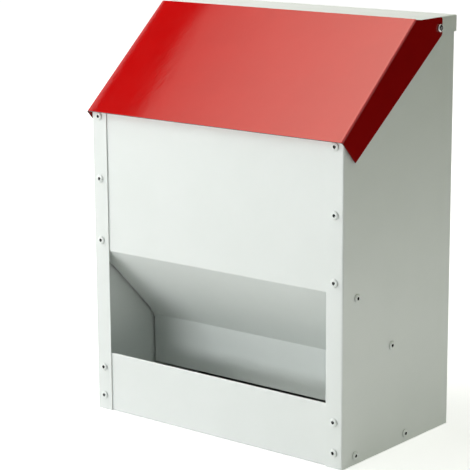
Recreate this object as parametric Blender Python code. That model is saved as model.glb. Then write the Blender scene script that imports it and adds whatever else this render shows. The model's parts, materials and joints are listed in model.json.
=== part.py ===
# Gravity chicken feeder: a folded sheet hopper over a trough, with a hinged lid and blind rivets.
# Metres, +Z up, the front faces -Y. The origin lies under the middle of the feeder, on the ground.
import math

import bmesh
import bpy
from mathutils import Matrix, Vector

# Sheet metal and fits
SHEET = 0.0008
GAP = 0.0003
BEND_INSIDE = 0.0008
BEND_STEPS = 4
HEM_SLOT = 0.0004
HEM_DEPTH = 0.0050
ROUND_SIDES = 10
ANCHOR_HOLE_SIDES = 24
HEXAGON = 6
NEAR = 0.000001
SMOOTH_UNDER = math.radians(32.0)

# Body
BODY_WIDTH = 0.3000
BODY_DEPTH = 0.1750
BODY_HEIGHT = 0.3960
FRONT_FLANGE = 0.0185
BACK_FLANGE = 0.0185

# Hopper front: upright sheet, slope over the trough, baffle
OPENING_TOP = 0.1630
BAFFLE_SETBACK = 0.0830
BAFFLE_TOP = 0.0800
BAFFLE_BOTTOM = 0.0280
SLOPE_FLANGE = 0.0190
SLOPE_FLANGE_INSET = 0.0080
SLOPE_RIVET_INSET = 0.0190

# Trough
LIP_HEIGHT = 0.0595
TROUGH_FLANGE = 0.0175
TROUGH_FLANGE_INSET = 0.0050
TROUGH_RIVET_SETBACK = 0.0200
TROUGH_RIVET_BEHIND_BAFFLE = 0.0175

# Cap
CAP_DEPTH = 0.0660
CAP_FLANGE = 0.0155
CAP_FRONT_FLANGE = 0.0100
CAP_FRONT_FLANGE_INSET = 0.0003

# Lid: a slope in front of the cap, and flaps at its sides that reach back to the pivot
LID_ANGLE = math.radians(41.0)
LID_OVERHANG = 0.0056
LID_CAP_GAP = 0.0025
LID_RISE_OVER_CAP = 0.0015
FLAP_DEPTH = 0.0287
FLAP_TIP_SETBACK = 0.0016
FLAP_TIP_RADIUS = 0.0008
FLAP_NOTCH = 0.0050
FLAP_BEHIND_PIVOT = 0.0049
FLAP_BELOW_PIVOT = 0.0064
FLAP_BACK_RADIUS = 0.0030

# Pivot screws, washers and lock nuts
PIVOT_BEHIND_CAP_FRONT = 0.0358
PIVOT_DROP = 0.0100
PIVOT_DIAMETER = 0.0040
PIVOT_HEAD_DIAMETER = 0.0078
PIVOT_HEAD_HEIGHT = 0.0016
PIVOT_HEAD_RIM = 0.0006
PIVOT_HEAD_FLAT_DIAMETER = 0.0040
WASHER_DIAMETER = 0.0090
NUT_ACROSS_FLATS = 0.0070
NUT_HEIGHT = 0.0032
NUT_COLLAR_DIAMETER = 0.0062
NUT_COLLAR_HEIGHT = 0.0018
THREAD_BEYOND_NUT = 0.0015

# Back panel
BACK_PANEL_BOTTOM = 0.0010
ANCHOR_HOLE_DIAMETER = 0.0090
ANCHOR_SPACING = 0.1800
ANCHOR_DROP = 0.0660

# Blind rivets
RIVET_DIAMETER = 0.0040
RIVET_HEAD_DIAMETER = 0.0080
RIVET_HEAD_HEIGHT = 0.0014
RIVET_RIM = 0.0003
RIVET_PIT_DIAMETER = 0.0019
RIVET_PIT_DEPTH = 0.0010
RIVET_BULB_SWELL = 0.0008
RIVET_BULB_LENGTH = 0.0045
RIVET_BULB_CHAMFER = 0.0009
DOME_STEPS = 2
RIVET_BELOW_LID = 0.0050
RIVET_OVER_OPENING = 0.0098
RIVET_BELOW_LIP = 0.0156
RIVET_OVER_GROUND = 0.0148
BACK_RIVET_DROP = 0.0410
BACK_RIVET_COUNT = 4
CAP_RIVET_SPACING = 0.1000
CAP_RIVET_DROP = 0.0085

# Colours, roughness and metallic value of each finish
FINISHES = {
    "white paint": ((0.82, 0.85, 0.83, 1.0), 0.42, 0.0),
    "red paint": ((0.52, 0.006, 0.006, 1.0), 0.30, 0.0),
    "bright steel": ((0.62, 0.62, 0.60, 1.0), 0.25, 1.0),
}

# Places worked out from the sizes above
BEHIND = GAP + SHEET
BEND_RADIUS = SHEET + BEND_INSIDE
HEM_WIDTH = 2 * SHEET + HEM_SLOT
HALF_WIDTH = BODY_WIDTH / 2
BACK_REACH = BODY_DEPTH + BEHIND + GAP + RIVET_HEAD_HEIGHT
FRONT_Y = LID_OVERHANG - (LID_OVERHANG + BACK_REACH) / 2
BACK_Y = FRONT_Y + BODY_DEPTH
SIDE_BACK_Y = BACK_Y - BEHIND
PANEL_FRONT_Y = FRONT_Y + BEHIND
CAP_FRONT_Y = BACK_Y - CAP_DEPTH
BAFFLE_Y = FRONT_Y + BAFFLE_SETBACK
WEB_INSIDE_X = HALF_WIDTH - SHEET
INNER_FLANGE_X = WEB_INSIDE_X - GAP
INNER_SHEET_X = INNER_FLANGE_X - SHEET / 2
CAP_OUTSIDE_X = HALF_WIDTH + BEHIND
LID_OUTSIDE_X = CAP_OUTSIDE_X + BEHIND
SIDE_TOP = BODY_HEIGHT - BEND_RADIUS
HOLE_RADIUS = RIVET_DIAMETER / 2 + GAP
PIVOT_HOLE_RADIUS = PIVOT_DIAMETER / 2 + GAP
CUTTER_LENGTH = 0.02
PIVOT = Vector((0.0, CAP_FRONT_Y + PIVOT_BEHIND_CAP_FRONT, BODY_HEIGHT - PIVOT_DROP))
LID_REACH = CAP_FRONT_Y - LID_CAP_GAP - (FRONT_Y - LID_OVERHANG)
LID_LENGTH = LID_REACH / math.cos(LID_ANGLE)
LID_EDGE_HEIGHT = BODY_HEIGHT + LID_RISE_OVER_CAP - LID_REACH * math.tan(LID_ANGLE)
LID_EDGE = Vector((0.0, FRONT_Y - LID_OVERHANG, LID_EDGE_HEIGHT))
LID_ALONG = Vector((0.0, math.cos(LID_ANGLE), math.sin(LID_ANGLE)))
LID_OUTWARD = Vector((0.0, -math.sin(LID_ANGLE), math.cos(LID_ANGLE)))
SLOPE_TOP = Vector((0.0, PANEL_FRONT_Y, OPENING_TOP))
SLOPE_END = Vector((0.0, BAFFLE_Y, BAFFLE_TOP))
SLOPE_LENGTH = (SLOPE_END - SLOPE_TOP).length
SLOPE_ALONG = (SLOPE_END - SLOPE_TOP).normalized()
SLOPE_INWARD = Vector((0.0, -SLOPE_ALONG.z, SLOPE_ALONG.y))

# Rivets on the right side: each place is on the outer face of the outermost sheet
FRONT_RIVET_X = HALF_WIDTH - FRONT_FLANGE / 2
BACK_RIVET_X = HALF_WIDTH - BACK_FLANGE / 2
PANEL_RIVET_ENDS = (LID_EDGE_HEIGHT - RIVET_BELOW_LID, OPENING_TOP + RIVET_OVER_OPENING)
PANEL_RIVET_HEIGHTS = (PANEL_RIVET_ENDS[0], sum(PANEL_RIVET_ENDS) / 2, PANEL_RIVET_ENDS[1])
PANEL_RIVETS = [Vector((FRONT_RIVET_X, FRONT_Y, height)) for height in PANEL_RIVET_HEIGHTS]
LIP_RIVET_HEIGHTS = (LIP_HEIGHT - RIVET_BELOW_LIP, RIVET_OVER_GROUND)
LIP_RIVETS = [Vector((FRONT_RIVET_X, FRONT_Y, height)) for height in LIP_RIVET_HEIGHTS]
BACK_RIVET_TOP = BODY_HEIGHT - BACK_RIVET_DROP
BACK_RIVET_STEP = (BACK_RIVET_TOP - TROUGH_FLANGE / 2) / (BACK_RIVET_COUNT - 1)
BACK_RIVET_HEIGHTS = [BACK_RIVET_TOP - step * BACK_RIVET_STEP for step in range(BACK_RIVET_COUNT)]
BACK_RIVETS = [Vector((BACK_RIVET_X, BACK_Y, height)) for height in BACK_RIVET_HEIGHTS]
TROUGH_BACK_RIVETS = BACK_RIVETS[-1:]
SLOPE_RIVETS = [
    SLOPE_TOP + SLOPE_ALONG * along + SLOPE_INWARD * SLOPE_FLANGE / 2 + Vector((HALF_WIDTH, 0.0, 0.0))
    for along in (SLOPE_RIVET_INSET, SLOPE_LENGTH - SLOPE_RIVET_INSET)
]
TROUGH_SIDE_RIVETS = [
    Vector((HALF_WIDTH, y, TROUGH_FLANGE / 2))
    for y in (FRONT_Y + TROUGH_RIVET_SETBACK, BAFFLE_Y + TROUGH_RIVET_BEHIND_BAFFLE)
]
CAP_RIVETS = [
    Vector((x, BACK_Y + BEHIND, BODY_HEIGHT - CAP_RIVET_DROP))
    for x in (-CAP_RIVET_SPACING, 0.0, CAP_RIVET_SPACING)
]


def clear_scene():
    for thing in list(bpy.data.objects):
        bpy.data.objects.remove(thing, do_unlink=True)


def finish(thing, kind):
    """Give a piece its own material in one of the finishes."""
    colour, roughness, metallic = FINISHES[kind]
    material = bpy.data.materials.new(thing.name + "_" + kind.replace(" ", "_"))
    material.use_nodes = True
    shader = material.node_tree.nodes["Principled BSDF"]
    shader.inputs["Base Color"].default_value = colour
    shader.inputs["Roughness"].default_value = roughness
    shader.inputs["Metallic"].default_value = metallic
    thing.data.materials.append(material)


def add_object(name, shape):
    """Turn a bmesh into an object, with its faces pointing out."""
    bmesh.ops.recalc_face_normals(shape, faces=shape.faces)
    mesh = bpy.data.meshes.new(name)
    shape.to_mesh(mesh)
    shape.free()
    thing = bpy.data.objects.new(name, mesh)
    bpy.context.scene.collection.objects.link(thing)
    return thing


def add_helper(name, shape):
    """A cutter, or a tab that is joined to a sheet: not a piece by itself."""
    helper = add_object(name, shape)
    helper.hide_render = True
    helper.display_type = "WIRE"
    return helper


def arc_corner(before, corner, after, radius):
    """The points of a round corner between two straight runs."""
    back = (before - corner).normalized()
    ahead = (after - corner).normalized()
    half = back.angle(ahead) / 2
    reach = radius / math.tan(half)
    centre = corner + (back + ahead).normalized() * (radius / math.sin(half))
    start = corner + back * reach - centre
    turn = (ahead * reach + corner - centre).angle_signed(start)
    points = []
    for step in range(BEND_STEPS + 1):
        angle = turn * step / BEND_STEPS
        points.append(centre + Matrix.Rotation(angle, 2) @ start)
    return points


def rounded(corners, radii, closed=False):
    """A path through the corners, each inner one rounded; a radius of 0 leaves it sharp."""
    corners = [Vector(corner) for corner in corners]
    count = len(corners)
    points = []
    for index, (corner, radius) in enumerate(zip(corners, radii)):
        at_end = index in (0, count - 1) and not closed
        if radius == 0 or at_end:
            run = [corner]
        else:
            run = arc_corner(corners[index - 1], corner, corners[(index + 1) % count], radius)
        for point in run:
            if not points or (point - points[-1]).length > NEAR:
                points.append(point)
    return points


def thickened(path):
    """The outline of a sheet whose outer face follows the path, with its metal on the right of it."""
    inner = []
    for index, point in enumerate(path):
        runs = []
        if index > 0:
            runs.append((point - path[index - 1]).normalized())
        if index < len(path) - 1:
            runs.append((path[index + 1] - point).normalized())
        sides = [Vector((run.y, -run.x)) for run in runs]
        middle = (sides[0] + sides[-1]).normalized()
        inner.append(point + middle * (SHEET / middle.dot(sides[0])))
    return path + inner[::-1]


def prism(outline, axis, low, high):
    """An outline pushed along x, y or z; its own two numbers are the other two axes, in order."""

    def place(first, second, along):
        numbers = [first, second]
        numbers.insert("xyz".index(axis), along)
        return numbers

    shape = bmesh.new()
    corners = [shape.verts.new(place(a, b, low)) for a, b in outline]
    face = shape.faces.new(corners)
    pushed = bmesh.ops.extrude_face_region(shape, geom=[face])
    moved = [part for part in pushed["geom"] if isinstance(part, bmesh.types.BMVert)]
    bmesh.ops.translate(shape, verts=moved, vec=Vector(place(0.0, 0.0, high - low)))
    return shape


def block(low, high):
    """A box between two opposite corners."""
    outline = [(low[1], low[2]), (high[1], low[2]), (high[1], high[2]), (low[1], high[2])]
    return prism(outline, "x", low[0], high[0])


def turned(profile, sides=ROUND_SIDES):
    """A solid turned about +X from (distance along x, radius) points that start and end on the axis."""
    shape = bmesh.new()
    corners = [shape.verts.new((along, radius, 0.0)) for along, radius in profile]
    edges = [shape.edges.new(pair) for pair in zip(corners, corners[1:])]
    bmesh.ops.spin(
        shape, geom=corners + edges, axis=(1, 0, 0), cent=(0, 0, 0),
        angle=math.tau, steps=sides, use_merge=True,
    )
    bmesh.ops.remove_doubles(shape, verts=shape.verts, dist=NEAR)
    return shape


def dome(base, top):
    """Points of a quarter ellipse between two (distance along x, radius) places, both ends included."""
    points = []
    for step in range(DOME_STEPS + 1):
        angle = math.pi / 2 * step / DOME_STEPS
        along = base[0] + (top[0] - base[0]) * math.sin(angle)
        points.append((along, top[1] + (base[1] - top[1]) * math.cos(angle)))
    return points


def barrel(low, high, radius):
    """The profile of a plain cylinder."""
    return [(low, 0.0), (low, radius), (high, radius), (high, 0.0)]


def cut(thing, cutter, operation="DIFFERENCE"):
    """Cut a piece by a helper, or join or intersect it with one."""
    modifier = thing.modifiers.new(operation.title(), "BOOLEAN")
    modifier.operation = operation
    modifier.solver = "EXACT"
    modifier.object = cutter


def drill(thing, centres, axis, radius, sides=ROUND_SIDES):
    """Round holes through a sheet, with their centres on it."""
    turn = {"x": Matrix.Rotation(math.pi / 2, 4, "Y"), "y": Matrix.Rotation(math.pi / 2, 4, "X")}[axis]
    shape = bmesh.new()
    for centre in centres:
        bmesh.ops.create_cone(
            shape, cap_ends=True, segments=sides, radius1=radius, radius2=radius, depth=CUTTER_LENGTH,
            matrix=Matrix.Translation(centre) @ turn,
        )
    cut(thing, add_helper("holes_in_" + thing.name, shape))


def on_side(side, points):
    """Points that are given for the right side, there or on the left."""
    return [Vector((side * point[0], point[1], point[2])) for point in points]


def mirrored(points):
    return on_side(1, points) + on_side(-1, points)


def lid_underside(y):
    """Height of the lid's inner face over a place."""
    return LID_EDGE.z + (y - LID_EDGE.y) * math.tan(LID_ANGLE) - SHEET / math.cos(LID_ANGLE)


def lid_point(along, outward):
    """A place in the lid's own slope, as (y, z)."""
    point = LID_EDGE + LID_ALONG * along + LID_OUTWARD * outward
    return point.y, point.z


def make_side_panel(name, side):
    """A channel with a front and a back flange, cut under the lid's slope."""
    corners = [
        (HALF_WIDTH - FRONT_FLANGE, FRONT_Y),
        (HALF_WIDTH, FRONT_Y),
        (HALF_WIDTH, SIDE_BACK_Y),
        (HALF_WIDTH - BACK_FLANGE, SIDE_BACK_Y),
    ]
    path = rounded(corners, [0, BEND_RADIUS, BEND_RADIUS, 0])
    outline = thickened([Vector((point.x, point.y)) for point in path[::-1]])
    panel = add_object(name, prism([(side * a, b) for a, b in outline], "z", 0.0, SIDE_TOP))
    start = FRONT_Y - CUTTER_LENGTH
    end = SIDE_BACK_Y + CUTTER_LENGTH
    over = BODY_HEIGHT + BODY_DEPTH
    above_slope = [(start, over), (end, over)]
    above_slope += [(y, lid_underside(y) - GAP) for y in (end, start)]
    cut(panel, add_helper(name + "_slope_cutter", prism(above_slope, "x", -BODY_WIDTH, BODY_WIDTH)))
    drill(panel, on_side(side, PANEL_RIVETS + LIP_RIVETS + BACK_RIVETS), "y", HOLE_RADIUS)
    drill(panel, on_side(side, SLOPE_RIVETS + TROUGH_SIDE_RIVETS), "x", HOLE_RADIUS)
    drill(panel, [(side * HALF_WIDTH, PIVOT.y, PIVOT.z)], "x", PIVOT_HOLE_RADIUS)
    finish(panel, "white paint")


def make_front_panel():
    """Hemmed upright sheet, slope over the trough and baffle; the slope's ends have riveted flanges."""
    top = lid_underside(PANEL_FRONT_Y) - GAP
    corners = [
        (PANEL_FRONT_Y + HEM_WIDTH, top - HEM_DEPTH),
        (PANEL_FRONT_Y + HEM_WIDTH, top),
        (PANEL_FRONT_Y, top),
        (PANEL_FRONT_Y, OPENING_TOP),
        (BAFFLE_Y, BAFFLE_TOP),
        (BAFFLE_Y, BAFFLE_BOTTOM),
    ]
    hem = HEM_WIDTH / 2
    path = rounded(corners, [0, hem, hem, BEND_RADIUS, BEND_RADIUS, 0])
    outline = thickened(path[::-1])
    panel = add_object("front_panel", prism(outline, "x", -INNER_SHEET_X, INNER_SHEET_X))
    near, far = SLOPE_FLANGE_INSET, SLOPE_LENGTH - SLOPE_FLANGE_INSET
    flange = []
    for along, inward in ((near, SHEET / 2), (far, SHEET / 2), (far, SLOPE_FLANGE), (near, SLOPE_FLANGE)):
        point = SLOPE_TOP + SLOPE_ALONG * along + SLOPE_INWARD * inward
        flange.append((point.y, point.z))
    for side in (-1, 1):
        low, high = sorted((side * INNER_FLANGE_X, side * (INNER_FLANGE_X - SHEET)))
        cut(panel, add_helper("slope_flange", prism(flange, "x", low, high)), "UNION")
    drill(panel, mirrored(PANEL_RIVETS), "y", HOLE_RADIUS)
    drill(panel, mirrored(SLOPE_RIVETS), "x", HOLE_RADIUS)
    finish(panel, "white paint")


def make_trough():
    """Hemmed lip, floor and turned-up back edge; the floor's ends have riveted flanges."""
    back_y = SIDE_BACK_Y - BEHIND
    corners = [
        (PANEL_FRONT_Y + HEM_WIDTH, LIP_HEIGHT - HEM_DEPTH),
        (PANEL_FRONT_Y + HEM_WIDTH, LIP_HEIGHT),
        (PANEL_FRONT_Y, LIP_HEIGHT),
        (PANEL_FRONT_Y, 0.0),
        (back_y, 0.0),
        (back_y, TROUGH_FLANGE),
    ]
    hem = HEM_WIDTH / 2
    path = rounded(corners, [0, hem, hem, BEND_RADIUS, BEND_RADIUS, 0])
    trough = add_object("trough", prism(thickened(path[::-1]), "x", -INNER_SHEET_X, INNER_SHEET_X))
    front, back = PANEL_FRONT_Y + TROUGH_FLANGE_INSET, back_y - TROUGH_FLANGE_INSET
    for side in (-1, 1):
        low, high = sorted((side * INNER_FLANGE_X, side * (INNER_FLANGE_X - SHEET)))
        flange = block((low, front, SHEET / 2), (high, back, TROUGH_FLANGE))
        cut(trough, add_helper("floor_flange", flange), "UNION")
    drill(trough, mirrored(LIP_RIVETS + TROUGH_BACK_RIVETS), "y", HOLE_RADIUS)
    drill(trough, mirrored(TROUGH_SIDE_RIVETS), "x", HOLE_RADIUS)
    finish(trough, "white paint")


def make_back_panel():
    """Flat sheet over the back flanges, with two holes for wall anchors. Edges run over it where the side
    flanges end and where the cap's flange begins, so that the face which meets the wall is one of its own."""
    half = HALF_WIDTH - BEND_RADIUS
    top = SIDE_TOP - SHEET
    sheet = block((-half, BACK_Y - SHEET, BACK_PANEL_BOTTOM), (half, BACK_Y, top))
    flange_end = HALF_WIDTH - BACK_FLANGE
    edges = [((x, 0, 0), (1, 0, 0)) for x in (-flange_end, flange_end)]
    edges.append(((0, 0, BODY_HEIGHT - CAP_FLANGE), (0, 0, 1)))
    for place, across in edges:
        whole = sheet.verts[:] + sheet.edges[:] + sheet.faces[:]
        bmesh.ops.bisect_plane(sheet, geom=whole, plane_co=place, plane_no=across)
    panel = add_object("back_panel", sheet)
    drill(panel, mirrored(BACK_RIVETS) + CAP_RIVETS, "y", HOLE_RADIUS)
    anchors = mirrored([(ANCHOR_SPACING / 2, BACK_Y, BODY_HEIGHT - ANCHOR_DROP)])
    drill(panel, anchors, "y", ANCHOR_HOLE_DIAMETER / 2, ANCHOR_HOLE_SIDES)
    finish(panel, "white paint")


def make_cap():
    """Folded tray over the top: side and back flanges, and a short one in front, between the side panels."""
    back_y = BACK_Y + BEHIND
    low = BODY_HEIGHT - CAP_FLANGE
    shape = block((-CAP_OUTSIDE_X, CAP_FRONT_Y, low), (CAP_OUTSIDE_X, back_y, BODY_HEIGHT))
    open_faces = []
    for face in shape.faces:
        middle = face.calc_center_median()
        if abs(middle.z - low) < GAP or abs(middle.y - CAP_FRONT_Y) < GAP:
            open_faces.append(face)
    bmesh.ops.delete(shape, geom=open_faces, context="FACES")
    folds = [edge for edge in shape.edges if len(edge.link_faces) == 2]
    bmesh.ops.bevel(
        shape, geom=folds, offset=BEND_RADIUS, segments=BEND_STEPS, profile=0.5, affect="EDGES"
    )
    cap = add_object("top_cap", shape)
    wall = cap.modifiers.new("Sheet", "SOLIDIFY")
    wall.thickness = SHEET
    wall.offset = -1.0
    wall.use_even_offset = True
    flange_y = CAP_FRONT_Y + CAP_FRONT_FLANGE_INSET
    flange = block(
        (-INNER_SHEET_X, flange_y, BODY_HEIGHT - CAP_FRONT_FLANGE),
        (INNER_SHEET_X, flange_y + SHEET, BODY_HEIGHT - SHEET / 2),
    )
    cut(cap, add_helper("cap_front_flange", flange), "UNION")
    drill(cap, CAP_RIVETS, "y", HOLE_RADIUS)
    drill(cap, mirrored([(CAP_OUTSIDE_X, PIVOT.y, PIVOT.z)]), "x", PIVOT_HOLE_RADIUS)
    finish(cap, "white paint")


def make_lid():
    """Sloping sheet with two flaps that reach back to the pivot. Its origin is on the pivot."""
    reach = (PIVOT - LID_EDGE).length + CUTTER_LENGTH
    corners = [(-LID_OUTSIDE_X, -reach), (-LID_OUTSIDE_X, 0.0)]
    corners += [(LID_OUTSIDE_X, 0.0), (LID_OUTSIDE_X, -reach)]
    path = rounded(corners, [0, BEND_RADIUS, BEND_RADIUS, 0])
    shape = prism(thickened(path), "y", -CUTTER_LENGTH, reach)
    shape.transform(Matrix.Translation(LID_EDGE) @ Matrix.Rotation(LID_ANGLE, 4, "X"))
    shape.transform(Matrix.Translation(-PIVOT))
    lid = add_object("lid", shape)
    lid.location = PIVOT
    flap_back = PIVOT.y + FLAP_BEHIND_PIVOT
    flap_top = BODY_HEIGHT
    corners = [
        lid_point(0.0, BEND_RADIUS),
        lid_point(FLAP_TIP_SETBACK, -FLAP_DEPTH),
        (flap_back, PIVOT.z - FLAP_BELOW_PIVOT),
        (flap_back, flap_top),
        (CAP_FRONT_Y + FLAP_NOTCH, flap_top),
        lid_point(LID_LENGTH, -SHEET),
        lid_point(LID_LENGTH, BEND_RADIUS),
    ]
    radii = [0, FLAP_TIP_RADIUS, FLAP_BACK_RADIUS, FLAP_BACK_RADIUS, 0, 0, 0]
    outline = rounded(corners, radii, closed=True)
    side_view = add_helper("lid_side_view", prism(outline, "x", -BODY_WIDTH, BODY_WIDTH))
    cut(lid, side_view, "INTERSECT")
    drill(lid, mirrored([(LID_OUTSIDE_X, PIVOT.y, PIVOT.z)]), "x", PIVOT_HOLE_RADIUS)
    finish(lid, "red paint")


def set_on_side(thing, side, y, z):
    """Place a turned piece, whose head points to +X, on the right or the left."""
    thing.location = (0.0, y, z)
    thing.rotation_euler = (0.0, 0.0, 0.0 if side > 0 else math.pi)


def make_pivot(side, word):
    """Screw, washer and lock nut that carry the lid on one side."""
    radius = PIVOT_DIAMETER / 2
    head = PIVOT_HEAD_DIAMETER / 2
    seat = LID_OUTSIDE_X + GAP
    top = seat + PIVOT_HEAD_HEIGHT
    washer_out = WEB_INSIDE_X - GAP
    washer_in = washer_out - SHEET
    nut_out = washer_in - GAP
    nut_in = nut_out - NUT_HEIGHT
    collar_in = nut_in - NUT_COLLAR_HEIGHT
    screw_end = collar_in - THREAD_BEYOND_NUT
    profile = [(screw_end, 0.0), (screw_end, radius), (seat, radius), (seat, head)]
    profile += dome((seat + PIVOT_HEAD_RIM, head), (top, PIVOT_HEAD_FLAT_DIAMETER / 2))
    profile += [(top, 0.0)]
    screw = add_object("pivot_screw_" + word, turned(profile))
    washer_profile = barrel(washer_in, washer_out, WASHER_DIAMETER / 2)
    washer = add_object("pivot_washer_" + word, turned(washer_profile))
    nut_profile = barrel(nut_in, nut_out, NUT_ACROSS_FLATS / math.sqrt(3))
    nut = add_object("pivot_nut_" + word, turned(nut_profile, HEXAGON))
    collar_profile = barrel(collar_in, nut_in + SHEET, NUT_COLLAR_DIAMETER / 2)
    collar = add_helper("collar_" + word, turned(collar_profile))
    bore_profile = barrel(collar_in - CUTTER_LENGTH, washer_out + CUTTER_LENGTH, PIVOT_HOLE_RADIUS)
    bore = add_helper("bore_" + word, turned(bore_profile))
    cut(nut, collar, "UNION")
    cut(washer, bore)
    cut(nut, bore)
    for thing in (screw, washer, nut, collar, bore):
        set_on_side(thing, side, PIVOT.y, PIVOT.z)
    for thing in (screw, washer, nut):
        finish(thing, "bright steel")


def rivet_mesh(name, sheets):
    """A blind rivet along +X: domed head with the broken mandrel's pit, shank and inner bulb."""
    radius, head, pit = (size / 2 for size in (RIVET_DIAMETER, RIVET_HEAD_DIAMETER, RIVET_PIT_DIAMETER))
    bulb = radius + RIVET_BULB_SWELL
    seat = GAP
    top = seat + RIVET_HEAD_HEIGHT
    inside = -(sheets * SHEET + (sheets - 1) * GAP) - GAP
    end = inside - RIVET_BULB_LENGTH
    profile = [(end, 0.0), (end, radius), (end + RIVET_BULB_CHAMFER, bulb)]
    profile += [(inside - RIVET_BULB_CHAMFER, bulb), (inside, radius), (seat, radius), (seat, head)]
    profile += dome((seat + RIVET_RIM, head), (top, pit))
    profile += [(top - RIVET_PIT_DEPTH, pit), (top - RIVET_PIT_DEPTH, 0.0)]
    shape = turned(profile)
    bmesh.ops.recalc_face_normals(shape, faces=shape.faces)
    mesh = bpy.data.meshes.new(name)
    shape.to_mesh(mesh)
    shape.free()
    return mesh


def add_rivet(name, mesh, place, turn):
    """One rivet; turn is the angle about +Z from +X to where its head points."""
    rivet = bpy.data.objects.new(name, mesh.copy())
    rivet.location = place
    rivet.rotation_euler = (0.0, 0.0, turn)
    bpy.context.scene.collection.objects.link(rivet)
    finish(rivet, "white paint")


def make_rivets():
    """Every rivet: down the front flanges, on the sides, down the back flanges and behind the cap."""
    two_sheets = rivet_mesh("rivet_through_two", 2)
    three_sheets = rivet_mesh("rivet_through_three", 3)
    front, back = -math.pi / 2, math.pi / 2
    for side, word in ((-1, "left"), (1, "right")):
        outward = 0.0 if side > 0 else math.pi
        for number, place in enumerate(on_side(side, PANEL_RIVETS + LIP_RIVETS), 1):
            add_rivet(f"front_rivet_{word}_{number}", two_sheets, place, front)
        for number, place in enumerate(on_side(side, SLOPE_RIVETS + TROUGH_SIDE_RIVETS), 1):
            add_rivet(f"side_rivet_{word}_{number}", two_sheets, place, outward)
        for number, place in enumerate(on_side(side, BACK_RIVETS), 1):
            mesh = three_sheets if number == BACK_RIVET_COUNT else two_sheets
            add_rivet(f"back_rivet_{word}_{number}", mesh, place, back)
    for number, place in enumerate(CAP_RIVETS, 1):
        add_rivet(f"cap_rivet_{number}", two_sheets, place, back)


def smooth_round_pieces():
    for thing in bpy.data.objects:
        if thing.type == "MESH":
            thing.data.shade_smooth()
            thing.data.set_sharp_from_angle(angle=SMOOTH_UNDER)


def main():
    clear_scene()
    make_side_panel("left_side_panel", -1)
    make_side_panel("right_side_panel", 1)
    make_front_panel()
    make_trough()
    make_back_panel()
    make_cap()
    make_lid()
    for side, word in ((-1, "left"), (1, "right")):
        make_pivot(side, word)
    make_rivets()
    smooth_round_pieces()


main()
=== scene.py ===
# Gravity chicken feeder: white folded sheet, red hinged lid, blind rivets. Metres, +Z up, front towards -Y.
import json
import math

import bmesh
import bpy
from mathutils import Matrix, Vector


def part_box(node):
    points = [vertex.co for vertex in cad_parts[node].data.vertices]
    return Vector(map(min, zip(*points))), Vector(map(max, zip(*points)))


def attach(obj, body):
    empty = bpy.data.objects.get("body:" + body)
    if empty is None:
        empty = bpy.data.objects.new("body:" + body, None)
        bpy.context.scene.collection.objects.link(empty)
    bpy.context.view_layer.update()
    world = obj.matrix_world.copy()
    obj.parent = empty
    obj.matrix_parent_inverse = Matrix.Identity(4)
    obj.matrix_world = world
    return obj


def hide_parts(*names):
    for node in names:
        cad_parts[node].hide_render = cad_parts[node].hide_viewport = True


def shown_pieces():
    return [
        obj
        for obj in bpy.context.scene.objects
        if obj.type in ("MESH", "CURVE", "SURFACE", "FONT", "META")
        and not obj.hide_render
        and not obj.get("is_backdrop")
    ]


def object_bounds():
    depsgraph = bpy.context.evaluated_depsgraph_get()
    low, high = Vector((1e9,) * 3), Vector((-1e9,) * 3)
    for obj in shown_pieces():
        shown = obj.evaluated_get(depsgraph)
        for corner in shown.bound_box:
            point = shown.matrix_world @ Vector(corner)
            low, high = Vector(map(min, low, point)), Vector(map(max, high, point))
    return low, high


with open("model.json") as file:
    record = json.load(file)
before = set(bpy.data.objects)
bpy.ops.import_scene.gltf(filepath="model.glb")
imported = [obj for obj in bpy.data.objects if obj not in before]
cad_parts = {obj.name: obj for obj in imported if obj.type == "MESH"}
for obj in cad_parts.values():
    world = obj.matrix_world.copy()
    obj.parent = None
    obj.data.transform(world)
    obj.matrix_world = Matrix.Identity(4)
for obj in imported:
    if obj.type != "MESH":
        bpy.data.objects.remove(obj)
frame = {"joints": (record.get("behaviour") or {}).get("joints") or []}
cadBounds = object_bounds()
print("frame loaded")


# small helpers for node trees

def output(source, name=None):
    # a socket as it is, or a node's output: the one named, or else the first in use
    if isinstance(source, bpy.types.NodeSocket):
        return source
    return next(socket for socket in source.outputs if socket.enabled and name in (None, socket.name))


def addNode(tree, kind, values=None, **settings):
    # settings are the node's own; values go to its inputs, as numbers or as links
    node = tree.nodes.new(kind)
    for name, value in settings.items():
        setattr(node, name, value)
    for name, value in (values or {}).items():
        if isinstance(name, int):
            socket = node.inputs[name]
        else:
            socket = next(socket for socket in node.inputs if socket.name == name and socket.enabled)
        if isinstance(value, (bpy.types.Node, bpy.types.NodeSocket)):
            tree.links.new(output(value), socket)
        else:
            socket.default_value = value
    return node


def maths(tree, operation, *terms, clamp=False):
    return addNode(tree, "ShaderNodeMath", dict(enumerate(terms)), operation=operation, use_clamp=clamp)


def vectorMaths(tree, operation, *terms):
    return addNode(tree, "ShaderNodeVectorMath", dict(enumerate(terms)), operation=operation)


def axisOf(tree, vector, axis):
    return output(addNode(tree, "ShaderNodeSeparateXYZ", {"Vector": vector}), axis)


def combine(tree, **parts):
    return addNode(tree, "ShaderNodeCombineXYZ", parts)


def remap(tree, value, span, **settings):
    # 0 at the span's first number, 1 at its second
    return addNode(tree, "ShaderNodeMapRange", {
        "Value": value, "From Min": span[0], "From Max": span[1]}, **settings)


def mixColours(tree, share, a, b):
    return addNode(tree, "ShaderNodeMix", {"Factor": share, "A": a, "B": b}, data_type="RGBA")


def noise(tree, vector, fineness, detail, roughness=0.5, size=None):
    # fineness is the number of cells in a metre, or in each size
    scale = fineness if size is None else maths(tree, "DIVIDE", fineness, size)
    return addNode(tree, "ShaderNodeTexNoise", {
        "Vector": vector, "Scale": scale, "Detail": detail, "Roughness": roughness})


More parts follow.
